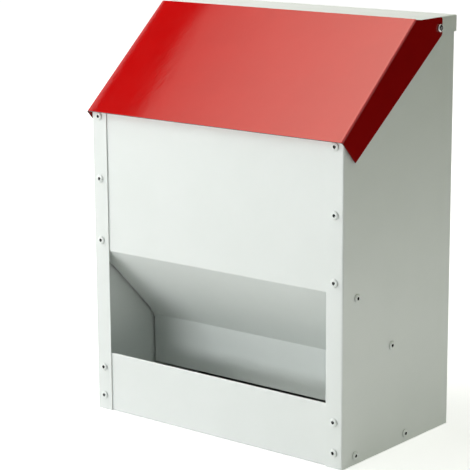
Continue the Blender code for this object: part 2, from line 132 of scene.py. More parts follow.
def newTree(kind, name, inputs):
    # an input is a number, which gives its type and value, or the name of another type
    tree = bpy.data.node_groups.new(name, kind)
    for label, value in inputs.items():
        plain = isinstance(value, (int, float))
        socketType = value if not plain else "Int" if isinstance(value, int) else "Float"
        socket = tree.interface.new_socket(label, in_out="INPUT", socket_type="NodeSocket" + socketType)
        if plain:
            socket.default_value = value
    return tree, tree.nodes.new("NodeGroupInput").outputs


def endTree(tree, **results):
    for label in results:
        socketType = label if label in ("Color", "Geometry") else "Float"
        tree.interface.new_socket(label, in_out="OUTPUT", socket_type="NodeSocket" + socketType)
    end = tree.nodes.new("NodeGroupOutput")
    for label, source in results.items():
        tree.links.new(output(source), end.inputs[label])
    spreadNodes(tree)
    return tree


def spreadNodes(tree):
    # columns by distance from the start, so that the tree can be read in the editor
    columnWidth, rowHeight, lastColumn = 220, 190, 60
    depth = {node: 0 for node in tree.nodes}
    for _ in range(len(tree.nodes)):
        for link in tree.links:
            reached = min(depth[link.from_node] + 1, lastColumn)
            depth[link.to_node] = max(depth[link.to_node], reached)
    rows = {}
    for node in tree.nodes:
        column = depth[node]
        rows[column] = rows.get(column, 0) + 1
        node.location = (column * columnWidth, -rows[column] * rowHeight)


# finishes; a value whose name is that of a group's input goes to that input

whitePaintValues = {
    "paint": (0.765, 0.80, 0.775, 1.0),
    "shade": (0.735, 0.775, 0.745, 1.0),
    "mottle": 0.5,
    "mottleSize": 0.060,
    "peelSize": 0.0021,
    "peelDepth": 0.000018,
    "roughness": 0.40,
    "roughnessSpread": 0.06,
    "wornColour": (0.52, 0.54, 0.52, 1.0),
    "wornWidth": 0.0005,
    "wornAmount": 0.35,
    "dustColour": (0.70, 0.68, 0.62, 1.0),
    "dustAmount": 0.05,
}
# painted shade: the trough's paint turns near black from just behind the baffle, standing in for the shade
# inside the hopper
troughPaintValues = dict(
    whitePaintValues, residue=(0.040, 0.034, 0.028, 1.0), residueFrom=0.002, residueFade=0.010)
# painted shade: near-black paint for the groove beside each slope flange
grooveShadePaintValues = dict(
    whitePaintValues, paint=(0.10, 0.105, 0.10, 1.0), shade=(0.07, 0.074, 0.07, 1.0))
redPaintValues = {
    "paint": (0.53, 0.0034, 0.0034, 1.0),
    "shade": (0.49, 0.0024, 0.0027, 1.0),
    "mottle": 0.5,
    "mottleSize": 0.050,
    "peelSize": 0.0026,
    "peelDepth": 0.000016,
    "roughness": 0.065,
    "roughnessSpread": 0.012,
    "wornColour": (0.26, 0.004, 0.004, 1.0),
    "wornWidth": 0.0005,
    "wornAmount": 0.4,
    "dustColour": (0.62, 0.30, 0.26, 1.0),
    "dustAmount": 0.010,
}
# painted shade: the same red is painted darker down the flaps, which turn away from the light, and darker
# still on the lower cut edges, which face down
redFlapShadeValues = dict(
    redPaintValues, paint=(0.325, 0.0038, 0.0038, 1.0), shade=(0.295, 0.0028, 0.0030, 1.0))
redEdgeShadeValues = dict(
    redPaintValues, paint=(0.040, 0.0015, 0.0020, 1.0), shade=(0.030, 0.0010, 0.0015, 1.0),
    roughness=0.30, wornAmount=0.0)
steelValues = {
    "colour": (0.42, 0.42, 0.41, 1.0),
    "shade": (0.31, 0.31, 0.30, 1.0),
    "roughness": 0.24,
    "grainSize": 0.0004,
    "grainDepth": 0.000006,
}
# bare steel of the rivet pits and mandrel stubs, with painted shade: near black for the shade down the hollow
pitShadeSteelValues = {
    "colour": (0.035, 0.033, 0.032, 1.0),
    "shade": (0.015, 0.015, 0.016, 1.0),
    "roughness": 0.50,
    "grainSize": 0.0003,
    "grainDepth": 0.00001,
}
nylonValues = {
    "paint": (0.045, 0.085, 0.20, 1.0),
    "shade": (0.035, 0.070, 0.17, 1.0),
    "mottleSize": 0.004,
    "peelSize": 0.0006,
    "roughness": 0.45,
}


def makePowderCoatGroup():
    cloudSpan, patchFineness, patchSwing = (0.32, 0.68), 4.5, 3.0
    swellFineness, swellHeight, grainFineness, grainHeight = 0.22, 1.6, 4.5, 0.10
    tree, given = newTree("ShaderNodeTree", "powderCoat", {
        "vector": "Vector", "paint": "Color", "shade": "Color", "mottle": 0.5, "mottleSize": 0.06,
        "peelSize": 0.002, "roughness": 0.4, "roughnessSpread": 0.05})
    place = given["vector"]
    cloud = noise(tree, place, 1.0, 4.0, 0.55, given["mottleSize"])
    wideCloud = remap(tree, cloud, cloudSpan, interpolation_type="SMOOTHSTEP")
    share = maths(tree, "MULTIPLY", wideCloud, given["mottle"])
    # small patches where the powder flowed a little more or less
    patch = noise(tree, place, patchFineness, 3.0, 0.6, given["mottleSize"])
    swing = maths(tree, "MULTIPLY", maths(tree, "SUBTRACT", patch, 0.5), given["roughnessSpread"])
    # orange peel: round ripples, with a longer swell below them and fine grains on top
    peel = noise(tree, place, 1.0, 1.0, 0.4, given["peelSize"])
    swell = noise(tree, place, swellFineness, 1.0, 0.4, given["peelSize"])
    grain = noise(tree, place, grainFineness, 0.0, 0.5, given["peelSize"])
    height = maths(tree, "MULTIPLY_ADD", swell, swellHeight, peel)
    return endTree(
        tree, Color=mixColours(tree, share, given["paint"], given["shade"]),
        Roughness=maths(tree, "MULTIPLY_ADD", swing, patchSwing, given["roughness"]),
        Height=maths(tree, "MULTIPLY_ADD", grain, grainHeight, height))


def endCover(tree, first, second, amount, under, cover):
    # one colour lies over the other where both masks are strong
    mask = maths(tree, "MULTIPLY", maths(tree, "MULTIPLY", first, second), amount, clamp=True)
    return endTree(tree, Color=mixColours(tree, mask, under, cover), Mask=mask)


def makeEdgeWearGroup():
    turnSpan, patchFineness, patchSpan = (0.985, 0.80), 140.0, (0.42, 0.62)
    tree, given = newTree("ShaderNodeTree", "edgeWear", {
        "vector": "Vector", "colour": "Color", "wornColour": "Color", "wornWidth": 0.0005,
        "wornAmount": 0.4})
    rounded = addNode(tree, "ShaderNodeBevel", {"Radius": given["wornWidth"]}, samples=4)
    flat = output(addNode(tree, "ShaderNodeNewGeometry"), "Normal")
    agree = output(vectorMaths(tree, "DOT_PRODUCT", flat, rounded), "Value")
    patches = noise(tree, given["vector"], patchFineness, 4.0, 0.65)
    return endCover(tree, remap(tree, agree, turnSpan), remap(tree, patches, patchSpan),
                    given["wornAmount"], given["colour"], given["wornColour"])


def makeDustGroup():
    upwardSpan, clumpFineness, clumpSpan = (0.3, 1.0), 55.0, (0.4, 0.75)
    tree, given = newTree("ShaderNodeTree", "dust", {
        "vector": "Vector", "colour": "Color", "dustColour": "Color", "dustAmount": 0.05})
    flat = output(addNode(tree, "ShaderNodeNewGeometry"), "Normal")
    clumps = noise(tree, given["vector"], clumpFineness, 6.0, 0.7)
    return endCover(tree, remap(tree, axisOf(tree, flat, "Z"), upwardSpan),
                    remap(tree, clumps, clumpSpan),
                    given["dustAmount"], given["colour"], given["dustColour"])


def makeMetalGrainGroup():
    bloomFineness, bloomSpan, grainSwing = 0.12, (0.35, 0.65), 0.25
    tree, given = newTree("ShaderNodeTree", "metalGrain", {
        "vector": "Vector", "colour": "Color", "shade": "Color", "grainSize": 0.0004,
        "roughness": 0.25})
    grain = noise(tree, given["vector"], 1.0, 3.0, size=given["grainSize"])
    bloom = noise(tree, given["vector"], bloomFineness, 3.0, size=given["grainSize"])
    swing = maths(tree, "SUBTRACT", grain, 0.5)
    return endTree(
        tree, Height=grain,
        Color=mixColours(tree, remap(tree, bloom, bloomSpan), given["colour"], given["shade"]),
        Roughness=maths(tree, "MULTIPLY_ADD", swing, grainSwing, given["roughness"]))


powderCoat = makePowderCoatGroup()
edgeWear = makeEdgeWearGroup()
dust = makeDustGroup()
metalGrain = makeMetalGrainGroup()


def startMaterial(name):
    material = bpy.data.materials.new(name)
    material.use_nodes = True
    tree = material.node_tree
    return material, tree, output(addNode(tree, "ShaderNodeTexCoord"), "Object")


def useGroup(tree, group, values, **links):
    taken = {**values, **links}
    names = [item.name for item in group.interface.items_tree if item.in_out == "INPUT"]
    return addNode(tree, "ShaderNodeGroup", {name: taken[name] for name in names if name in taken},
                   node_tree=group)


def dressShader(tree, colour, roughness, height=None, depth=0.0):
    inputs = tree.nodes["Principled BSDF"].inputs
    tree.links.new(output(colour), inputs["Base Color"])
    tree.links.new(output(roughness), inputs["Roughness"])
    if height is not None:
        bump = addNode(tree, "ShaderNodeBump", {"Height": height, "Distance": depth, "Strength": 1.0})
        tree.links.new(output(bump), inputs["Normal"])
    spreadNodes(tree)


def makePaint(name, values):
    wornDulls, dustDulls = 0.25, 0.6
    material, tree, place = startMaterial(name)
    coat = useGroup(tree, powderCoat, values, vector=place)
    colour = output(coat, "Color")
    # painted shade: darker towards the back, for the shade inside the hopper
    if "residue" in values:
        start = values["residueFrom"]
        share = remap(tree, axisOf(tree, place, "Y"), (start, start + values["residueFade"]))
        colour = output(mixColours(tree, share, colour, values["residue"]))
    worn = useGroup(tree, edgeWear, values, vector=place, colour=colour)
    dusty = useGroup(tree, dust, values, vector=place, colour=output(worn, "Color"))
    dull = maths(tree, "MULTIPLY_ADD", output(worn, "Mask"), wornDulls, output(coat, "Roughness"))
    dull = maths(tree, "MULTIPLY_ADD", output(dusty, "Mask"), dustDulls, dull)
    dressShader(tree, output(dusty, "Color"), dull, output(coat, "Height"), values["peelDepth"])
    return material


def makeMetal(name, values):
    material, tree, place = startMaterial(name)
    grain = useGroup(tree, metalGrain, values, vector=place)
    tree.nodes["Principled BSDF"].inputs["Metallic"].default_value = 1.0
    dressShader(tree, output(grain, "Color"), output(grain, "Roughness"), output(grain, "Height"),
                values["grainDepth"])
    return material


def makeNylon(name, values):
    material, tree, place = startMaterial(name)
    coat = useGroup(tree, powderCoat, values, vector=place)
    dressShader(tree, output(coat, "Color"), output(coat, "Roughness"))
    return material


whitePaint = makePaint("whitePaint", whitePaintValues)
troughPaint = makePaint("troughPaint", troughPaintValues)
grooveShadePaint = makePaint("grooveShadePaint", grooveShadePaintValues)
redPaint = makePaint("redPaint", redPaintValues)
redFlapShade = makePaint("redFlapShade", redFlapShadeValues)
redEdgeShade = makePaint("redEdgeShade", redEdgeShadeValues)
zincSteel = makeMetal("zincSteel", steelValues)
pitShadeSteel = makeMetal("pitShadeSteel", pitShadeSteelValues)
nylon = makeNylon("nylon", nylonValues)
print("finishes made")


# folded sheet: a path of folds, pushed along one direction

sheetValues = {
    "thickness": 0.0008,
    "foldRadius": 0.0016,
    "foldSteps": 6,
    "foldSupport": 0.0022,
    "hemRadius": 0.00098,
    "hemWidth": 0.0020,
    "hemDepth": 0.0050,
    "sideInset": 0.0004,
    "runStep": 0.016,
    "columnStep": 0.015,
    "fade": 0.030,
    "waviness": 0.00011,
    "waveSize": 0.085,
    "merge": 0.000004,
    "edgeRound": 0.00020,
    "edgeSteps": 2,
    "edgeOver": math.radians(40.0),
    "weld": 0.00003,
    "sharpOver": math.radians(20.0),
}
thick = sheetValues["thickness"]
fold = sheetValues["foldRadius"]
joinGap = 0.0003  # between sheets that are riveted together
pivotHole = 0.0023
holeSides = 32
punchLength = 0.02
beyond = 0.3  # half as wide again as the feeder, for cutters that pass right through it
helpers = []


def attribute(tree, name, kind="FLOAT"):
    return addNode(tree, "GeometryNodeInputNamedAttribute", {"Name": name}, data_type=kind)


def coated(tree, shape, material):
    return addNode(tree, "GeometryNodeSetMaterial", {"Geometry": shape, "Material": material})


def pointGrid(tree, columns, rows):
    # a flat grid, with the row and the column that each of its points is in
    grid = addNode(tree, "GeometryNodeMeshGrid", {
        "Size X": 1.0, "Size Y": 1.0, "Vertices X": columns, "Vertices Y": rows})
    index = addNode(tree, "GeometryNodeInputIndex")
    row, column = (
        addNode(tree, "FunctionNodeIntegerMath", {0: index, 1: rows}, operation=operation)
        for operation in ("MODULO", "DIVIDE_FLOOR"))
    return output(grid, "Mesh"), row, column


def makeFoldedSheetTree():
    tree, given = newTree("GeometryNodeTree", "foldedSheet", {
        "Fold Path": "Geometry", "Low": 0.0, "High": 0.3, "Columns": 12, "Fold Steps": 6,
        "Waviness": 0.0001, "Wave Size": 0.08, "Fade": 0.03, "Seed": 1.0, "Merge": 0.000004,
        "Finish": "Material"})
    # the path's corners are rounded by the radius that each one carries
    path = addNode(tree, "GeometryNodeMeshToCurve", {"Mesh": given["Fold Path"]})
    folds = addNode(tree, "GeometryNodeFilletCurve", {
        "Curve": path, "Radius": attribute(tree, "foldRadius"), "Count": given["Fold Steps"],
        "Limit Radius": True}, mode="POLY")
    line = addNode(tree, "GeometryNodeCurveToMesh", {"Curve": folds})
    size = addNode(tree, "GeometryNodeAttributeDomainSize", {"Geometry": line}, component="MESH")
    # a grid whose rows take the places of the path's points
    grid, row, _ = pointGrid(tree, given["Columns"], output(size, "Point Count"))
    here = addNode(tree, "GeometryNodeInputPosition")
    across = axisOf(tree, here, "X")
    onPath = addNode(tree, "GeometryNodeSampleIndex", {
        "Geometry": line, "Value": here, "Index": row}, data_type="FLOAT_VECTOR")
    width = maths(tree, "SUBTRACT", given["High"], given["Low"])
    place = maths(tree, "MULTIPLY_ADD", maths(tree, "ADD", across, 0.5), width, given["Low"])
    target = combine(tree, X=place, Y=axisOf(tree, onPath, "Y"), Z=axisOf(tree, onPath, "Z"))
    placed = addNode(tree, "GeometryNodeSetPosition", {"Geometry": grid, "Position": target})
    # a slight waviness, as rolled sheet has, that dies away at the folds and ends
    soft = addNode(tree, "GeometryNodeSampleIndex", {
        "Geometry": line, "Value": attribute(tree, "soft"), "Index": row}, data_type="FLOAT")
    fromEnd = maths(tree, "MINIMUM", maths(tree, "SUBTRACT", across, given["Low"]),
                    maths(tree, "SUBTRACT", given["High"], across))
    ends = maths(tree, "DIVIDE", fromEnd, given["Fade"], clamp=True)
    seeded = vectorMaths(tree, "ADD", here, combine(tree, X=given["Seed"]))
    wave = noise(tree, seeded, 1.0, 1.0, size=given["Wave Size"])
    swing = maths(tree, "MULTIPLY", maths(tree, "SUBTRACT", wave, 0.5), given["Waviness"])
    swing = maths(tree, "MULTIPLY", swing, maths(tree, "MULTIPLY", soft, ends))
    move = addNode(tree, "ShaderNodeVectorMath", {
        0: addNode(tree, "GeometryNodeInputNormal"), "Scale": maths(tree, "MULTIPLY", swing, 2.0)},
        operation="SCALE")
    wavy = addNode(tree, "GeometryNodeSetPosition", {"Geometry": placed, "Offset": move})
    merged = addNode(tree, "GeometryNodeMergeByDistance", {
        "Geometry": wavy, "Distance": given["Merge"]})
    real = addNode(tree, "GeometryNodeRealizeInstances", {"Geometry": merged})
    return endTree(tree, Geometry=coated(tree, real, given["Finish"]))


foldedSheet = makeFoldedSheetTree()


def addObject(name, data):
    item = bpy.data.objects.new(name, data)
    bpy.context.scene.collection.objects.link(item)
    return item


def shapeObject(name, shape):
    mesh = bpy.data.meshes.new(name)
    shape.to_mesh(mesh)
    shape.free()
    return addObject(name, mesh)


def setInputs(piece, tree, values):
    modifier = piece.modifiers.new(tree.name, "NODES")
    modifier.node_group = tree
    for item in tree.interface.items_tree:
        if item.in_out == "INPUT" and item.name in values:
            modifier[item.identifier] = values[item.name]


def foldPath(name, corners):
    # corners are (a, b, radius) in the plane across the push; extra points give rows to wave by
    spots = [Vector((a, b)) for a, b, _ in corners]
    last = len(corners) - 1

    def margin(k):
        # a fold's rounding, and the support row beside it, are kept clear
        reach = 0.0
        if 0 < k < last:
            opening = (spots[k - 1] - spots[k]).angle(spots[k + 1] - spots[k])
            reach = corners[k][2] / math.tan(opening / 2)
        return sheetValues["foldSupport"] + reach

    points = []
    for number, (_, _, radius) in enumerate(corners):
        points.append((spots[number], radius, 0.0))
        if number == last:
            break
        run = spots[number + 1] - spots[number]
        start, end = margin(number), run.length - margin(number + 1)
        if end - start < sheetValues["foldSupport"]:
            continue
        steps = max(1, math.ceil((end - start) / sheetValues["runStep"]))
        for step in range(steps + 1):
            along = start + (end - start) * step / steps
            edge = min(along, run.length - along)
            soft = min(1.0, max(0.0, (edge - start) / sheetValues["fade"]))
            spot = spots[number] + run.normalized() * along
            points.append((spot, 0.0, soft * soft * (3 - 2 * soft)))
    mesh = bpy.data.meshes.new(name)
    mesh.from_pydata([(0.0, *spot) for spot, _, _ in points],
                     [(step, step + 1) for step in range(len(points) - 1)], [])
    for label, part in (("foldRadius", 1), ("soft", 2)):
        layer = mesh.attributes.new(label, "FLOAT", "POINT")
        layer.data.foreach_set("value", [point[part] for point in points])
    return addObject(name, mesh)


def addWall(piece):
    wall = piece.modifiers.new("wall", "SOLIDIFY")
    wall.thickness = thick
    wall.offset = -1.0
    wall.use_even_offset = True


def sheetPiece(name, corners, low, high, finish, seed, turn=Matrix()):
    piece = foldPath(name, corners)
    setInputs(piece, foldedSheet, {
        "Low": low,
        "High": high,
        "Columns": max(2, round((high - low) / sheetValues["columnStep"]) + 1),
        "Fold Steps": sheetValues["foldSteps"],
        "Waviness": sheetValues["waviness"],
        "Wave Size": sheetValues["waveSize"],
        "Fade": sheetValues["fade"],
        "Seed": seed,
        "Merge": sheetValues["merge"],
        "Finish": finish,
    })
    piece.matrix_world = turn
    addWall(piece)
    return piece


def axesMatrix(x, y, z, place=(0, 0, 0)):
    turn = Matrix((x, y, z)).transposed().to_4x4()
    turn.translation = Vector(place)
    return turn


def cutBy(piece, cutter, operation="DIFFERENCE", crossed=False):
    modifier = piece.modifiers.new("cut", "BOOLEAN")
    modifier.operation = operation
    modifier.solver = "EXACT"
    modifier.use_self = crossed
    modifier.object = cutter
    cutter.hide_render = True
    helpers.append(cutter)


def rectangle(lowA, lowB, highA, highB):
    return [(lowA, lowB), (highA, lowB), (highA, highB), (lowA, highB)]


def prism(name, outline, start, end):
    # an outline of (y, z) points, pushed along x
    low, high = sorted((start, end))
    shape = bmesh.new()
    face = shape.faces.new([shape.verts.new((low, y, z)) for y, z in outline])
    pushed = bmesh.ops.extrude_face_region(shape, geom=[face])
    moved = [part for part in pushed["geom"] if isinstance(part, bmesh.types.BMVert)]
    bmesh.ops.translate(shape, verts=moved, vec=(high - low, 0.0, 0.0))
    bmesh.ops.recalc_face_normals(shape, faces=shape.faces)
    return shapeObject(name, shape)


def holePunch(name, centres, axis, radius):
    turn = Matrix.Rotation(math.pi / 2, 4, "Y" if axis == "x" else "X")
    shape = bmesh.new()
    for centre in centres:
        bmesh.ops.create_cone(
            shape, cap_ends=True, segments=holeSides, radius1=radius, radius2=radius,
            depth=punchLength, matrix=Matrix.Translation(centre) @ turn)
    return shapeObject(name, shape)


def settle(piece):
    # every modifier becomes plain mesh, the object goes back to the origin, and the cutters go
    bpy.context.view_layer.update()
    depsgraph = bpy.context.evaluated_depsgraph_get()
    result = bpy.data.meshes.new_from_object(
        piece.evaluated_get(depsgraph), preserve_all_data_layers=True, depsgraph=depsgraph)
    result.transform(piece.matrix_world)
    piece.modifiers.clear()
    piece.data = result
    piece.matrix_world = Matrix()
    for label in ("foldRadius", "soft"):
        if label in result.attributes:
            result.attributes.remove(result.attributes[label])
    while helpers:
        bpy.data.objects.remove(helpers.pop(), do_unlink=True)


def handOver(piece, body, nodes, sharpOver):
    piece.data.shade_smooth()
    piece.data.set_sharp_from_angle(angle=sharpOver)
    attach(piece, body)
    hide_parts(*nodes)
    print(piece.name, "made,", len(piece.data.polygons), "faces")


def finishSheet(piece, body, nodes):
    weld = piece.modifiers.new("weld", "WELD")
    weld.merge_threshold = sheetValues["weld"]
    bevel = piece.modifiers.new("edges", "BEVEL")
    bevel.width = sheetValues["edgeRound"]
    bevel.segments = sheetValues["edgeSteps"]
    bevel.limit_method = "ANGLE"
    bevel.angle_limit = sheetValues["edgeOver"]
    bevel.use_clamp_overlap = False
    settle(piece)
    handOver(piece, body, nodes, sheetValues["sharpOver"])


def paintFaces(piece, paint, chosen):
    slot = len(piece.data.materials)
    piece.data.materials.append(paint)
    for face in piece.data.polygons:
        if chosen(face):
            face.material_index = slot


# places, read from the frame

sideLow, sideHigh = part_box("right_side_panel")
panelLow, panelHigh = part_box("front_panel")
troughLow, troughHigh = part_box("trough")
capLow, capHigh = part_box("top_cap")
backLow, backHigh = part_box("back_panel")
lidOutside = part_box("lid")[1].x
pivot = Vector(frame["joints"][0]["pos_m"])
halfWidth = sideHigh.x
frontY = sideLow.y
panelFrontY = panelLow.y
bodyTop = capHigh.z

lidValues = {
    "angle": math.radians(41.0),
    "capGap": 0.0025,
    "riseOverCap": 0.0015,
    "overhang": 0.0056,
    "flapDepth": 0.0287,
    "flapTipSetback": 0.0016,
    "flapTipRadius": 0.0008,
    "flapNotch": 0.0050,
    "flapBehindPivot": 0.0049,
    "flapBelowPivot": 0.0064,
    "flapBackRadius": 0.0030,
    "flapRoundSteps": 6,
    "rightFold": 0.0017,
    "leftFold": 0.0024,
    "shoulderWidth": 0.0100,
    "shoulderDrop": 0.00011,
    "shoulderSteps": 5,
    "sheetReach": 0.22,
    "sheetSpare": 0.02,
    "edgeFacing": 0.08,
    "flapFacing": 0.8,
    "seed": 7.3,
}
lidAngle = lidValues["angle"]
lidSlope = Vector((0.0, math.cos(lidAngle), math.sin(lidAngle)))
lidOutward = Vector((0.0, -math.sin(lidAngle), math.cos(lidAngle)))
# the lower edge of the sloping sheet's outer face is worked back from the cap
lidTop = Vector((0.0, capLow.y - lidValues["capGap"], bodyTop + lidValues["riseOverCap"]))
lidLength = (lidTop.y - (frontY - lidValues["overhang"])) / math.cos(lidAngle)
lidEdge = lidTop - lidSlope * lidLength


def lidUnderside(y):
    return lidEdge.z + (y - lidEdge.y) * math.tan(lidAngle) - thick / math.cos(lidAngle)


# side panels

sidePanelValues = {
    "frontFlange": 0.0185,
    "backFlange": 0.0185,
    "leftSeed": 2.1,
    "rightSeed": 4.7,
}


def makeSidePanel(name, node, side, seed):
    corners = [
        (side * (halfWidth - sidePanelValues["backFlange"]), sideHigh.y, 0.0),
        (side * halfWidth, sideHigh.y, fold),
        (side * halfWidth, frontY, fold),
        (side * (halfWidth - sidePanelValues["frontFlange"]), frontY, 0.0),
    ]
    if side < 0:
        corners.reverse()
    upright = axesMatrix((0, 0, 1), (1, 0, 0), (0, 1, 0))
    panel = sheetPiece(name, corners, 0.0, sideHigh.z, whitePaint, seed, upright)
    start, end, over = frontY - punchLength, sideHigh.y + punchLength, bodyTop + beyond
    wedge = [(start, over), (end, over)] + [(y, lidUnderside(y) - joinGap) for y in (end, start)]
    cutBy(panel, prism("slopeCut", wedge, -beyond, beyond))
    cutBy(panel, holePunch("pivotHole", [(side * halfWidth, pivot.y, pivot.z)], "x", pivotHole))
    finishSheet(panel, "body", [node])


makeSidePanel("leftSide", "left_side_panel", -1, sidePanelValues["leftSeed"])
makeSidePanel("rightSide", "right_side_panel", 1, sidePanelValues["rightSeed"])


# front panel: upright sheet, slope over the trough, baffle

frontPanelValues = {
    "openingTop": 0.1630,
    "baffleY": -0.0031,
    "baffleTop": 0.0800,
    "baffleRaise": 0.0014,
    "baffleTrim": 0.0012,
    "flangeInset": 0.0080,
    "flangeDepth": 0.0190,
    "flangeTaper": 0.0040,
    "slopeFlangeX": 0.1482,
    "sideFold": 0.0030,
    "sideFoldSteps": 8,
    "sideFoldSpare": 0.0016,
    "sideFoldLap": 0.0001,
    "reliefWidth": 0.0020,
    "reliefLength": 0.0060,
    "grooveFacing": 0.35,
    "seed": 9.4,
}


def hemmedTop(top):
    # the front's upper edge, folded back inside
    hem, hemY = sheetValues["hemRadius"], panelFrontY + sheetValues["hemWidth"]
    return [(panelFrontY, top, hem), (hemY, top, hem), (hemY, top - sheetValues["hemDepth"], 0.0)]


def slopeFold(side, slopeTop, along, inward, near, far):
    # the square corner where the slope turns down into a side flange goes, and a round fold takes its place
    radius, edge = frontPanelValues["sideFold"], frontPanelValues["slopeFlangeX"]
    spare, lap, last = (frontPanelValues[name] for name in ("sideFoldSpare", "sideFoldLap", "sideFoldSteps"))
    square = [(edge + spare, -spare), (edge + spare, radius), (edge - radius, radius), (edge - radius, -spare)]
    ring = []
    for reach, steps in ((radius, range(last + 1)), (radius - thick, reversed(range(last + 1)))):
        for step in steps:
            angle = math.pi / 2 * step / last
            ring.append((edge - radius + reach * math.cos(angle), radius - reach * math.sin(angle)))
    # both ends of the ring reach a hair into the sheet that they join
    ring = [(x - lap if k in (last, last + 1) else x, depth + lap if k in (0, 2 * last + 1) else depth)
            for k, (x, depth) in enumerate(ring)]
    made = []
    for name, section in (("sideFoldCorner", square), ("sideFoldRound", ring)):
        shape = bmesh.new()
        rows = []
        for reach in (near, far):
            spot = slopeTop + along * reach
            rows.append([shape.verts.new((side * x, spot.x + inward.x * depth, spot.y + inward.y * depth))
                         for x, depth in section])
        count = len(section)
        for k in range(count):
            shape.faces.new((rows[0][k], rows[0][(k + 1) % count], rows[1][(k + 1) % count], rows[1][k]))
        shape.faces.new(rows[0])
        shape.faces.new(rows[1])
        bmesh.ops.recalc_face_normals(shape, faces=shape.faces)
        made.append(shapeObject(name, shape))
    return made


def makeFrontPanel():
    values = frontPanelValues
    baffleY, baffleTop, openingTop = (values[name] for name in ("baffleY", "baffleTop", "openingTop"))
    corners = [
        (baffleY, panelLow.z + values["baffleRaise"], 0.0),
        (baffleY, baffleTop, fold),
        (panelFrontY, openingTop, fold),
        *hemmedTop(panelHigh.z),
    ]
    inset = sheetValues["sideInset"]
    panel = sheetPiece(
        "frontSheet", corners, panelLow.x + inset, panelHigh.x - inset, whitePaint, values["seed"])
    slopeTop, slopeEnd = Vector((panelFrontY, openingTop)), Vector((baffleY, baffleTop))
    along = (slopeEnd - slopeTop).normalized()
    inward = Vector((-along.y, along.x))

    def onSlope(reach, depth):
        return slopeTop + along * reach + inward * depth

    near, far = values["flangeInset"], (slopeEnd - slopeTop).length - values["flangeInset"]
    taper, deep = values["flangeTaper"], values["flangeDepth"]
    flange = [onSlope(*spot) for spot in (
        (near, thick / 2), (far, thick / 2), (far - taper, deep), (near + taper, deep))]
    relief = [onSlope(*spot) for spot in rectangle(
        near - values["reliefLength"], -thick, near, 2 * thick)]
    baffle = rectangle(baffleY - thick, panelLow.z - thick, baffleY + 2 * thick, baffleTop - 2 * fold)
    for side in (-1, 1):
        outer = side * values["slopeFlangeX"]
        corner, bend = slopeFold(side, slopeTop, along, inward, near, far)
        cutBy(panel, prism("slopeFlange", flange, outer, outer - side * thick), "UNION")
        cutBy(panel, corner)
        cutBy(panel, bend, "UNION")
        beside = outer + side * thick
        cutBy(panel, prism("reliefCut", relief, beside, outer - side * values["reliefWidth"]))
        # the baffle's edge stands a little off the side
        cutBy(panel, prism("baffleTrim", baffle, beside, outer - side * values["baffleTrim"]))
    finishSheet(panel, "body", ["front_panel"])

    def inGroove(face):
        # painted shade: near-black paint in the groove between each side flange and the side panel, where
        # shade falls
        outside = abs(face.center.x) > values["slopeFlangeX"] - values["sideFold"]
        onSlopePart = baffleTop < face.center.z < openingTop
        return outside and onSlopePart and abs(face.normal.x) > values["grooveFacing"]

    paintFaces(panel, grooveShadePaint, inGroove)


makeFrontPanel()


# trough: hemmed lip, floor, turned-up back edge

troughValues = {
    "backFlange": 0.0175,
    "flangeInset": 0.0050,
    "flangeDepth": 0.0175,
    "flangeTaper": 0.0030,
    "flangeX": 0.1489,
    "seed": 12.9,
}


def makeTrough():
    backY, inset = troughHigh.y, sheetValues["sideInset"]
    corners = [
        (backY, troughValues["backFlange"], 0.0),
        (backY, 0.0, fold),
        (panelFrontY, 0.0, fold),
        *hemmedTop(troughHigh.z),
    ]
    trough = sheetPiece("troughSheet", corners, troughLow.x + inset, troughHigh.x - inset,
                        troughPaint, troughValues["seed"])
    front, back = panelFrontY + troughValues["flangeInset"], backY - troughValues["flangeInset"]
    deep, taper = troughValues["flangeDepth"], troughValues["flangeTaper"]
    flange = [(front, thick / 2), (back, thick / 2), (back - taper, deep), (front + taper, deep)]
    for side in (-1, 1):
        outer = side * troughValues["flangeX"]
        cutBy(trough, prism("floorFlange", flange, outer, outer - side * thick), "UNION")
    finishSheet(trough, "body", ["trough"])


makeTrough()


# back panel

backPanelValues = {
    "anchorX": 0.0900,
    "anchorZ": 0.3300,
    "anchorHole": 0.0045,
    "seed": 15.2,
}


def makeBackPanel():
    values = backPanelValues
    corners = [(backHigh.y, backHigh.z, 0.0), (backHigh.y, backLow.z, 0.0)]
    panel = sheetPiece("backSheet", corners, backLow.x, backHigh.x, whitePaint, values["seed"])
    holes = [(side * values["anchorX"], backHigh.y, values["anchorZ"]) for side in (-1, 1)]
    cutBy(panel, holePunch("anchorHoles", holes, "y", values["anchorHole"]))
    finishSheet(panel, "body", ["back_panel"])


makeBackPanel()


# cap: a shallow folded tray over the back of the top

capValues = {
    "foldSteps": 6,
    "frontFlange": 0.0100,
    "frontFlangeInset": 0.0003,
    "flangeX": 0.1485,
}


def makeCap():
    shape = bmesh.new()
    middle = Matrix.Translation((capHigh + capLow) / 2)
    bmesh.ops.create_cube(shape, size=1.0, matrix=middle @ Matrix.Diagonal((*(capHigh - capLow), 1.0)))
    # the tray has no floor and no front
    openFaces = []
    for face in shape.faces:
        spot = face.calc_center_median()
        if spot.z < capLow.z + joinGap or spot.y < capLow.y + joinGap:
            openFaces.append(face)
    bmesh.ops.delete(shape, geom=openFaces, context="FACES")
    folds = [edge for edge in shape.edges if len(edge.link_faces) == 2]
    bmesh.ops.bevel(shape, geom=folds, offset=fold, segments=capValues["foldSteps"], profile=0.5,
                    affect="EDGES")
    cap = shapeObject("capSheet", shape)
    cap.data.materials.append(whitePaint)
    addWall(cap)
    flangeY = capLow.y + capValues["frontFlangeInset"]
    flange = rectangle(
        flangeY, bodyTop - capValues["frontFlange"], flangeY + thick, bodyTop - thick / 2)
    cutBy(cap, prism("capFrontFlange", flange, -capValues["flangeX"], capValues["flangeX"]), "UNION")
    holes = [(side * capHigh.x, pivot.y, pivot.z) for side in (-1, 1)]
    cutBy(cap, holePunch("pivotHoles", holes, "x", pivotHole))
    finishSheet(cap, "body", ["top_cap"])


makeCap()


# lid

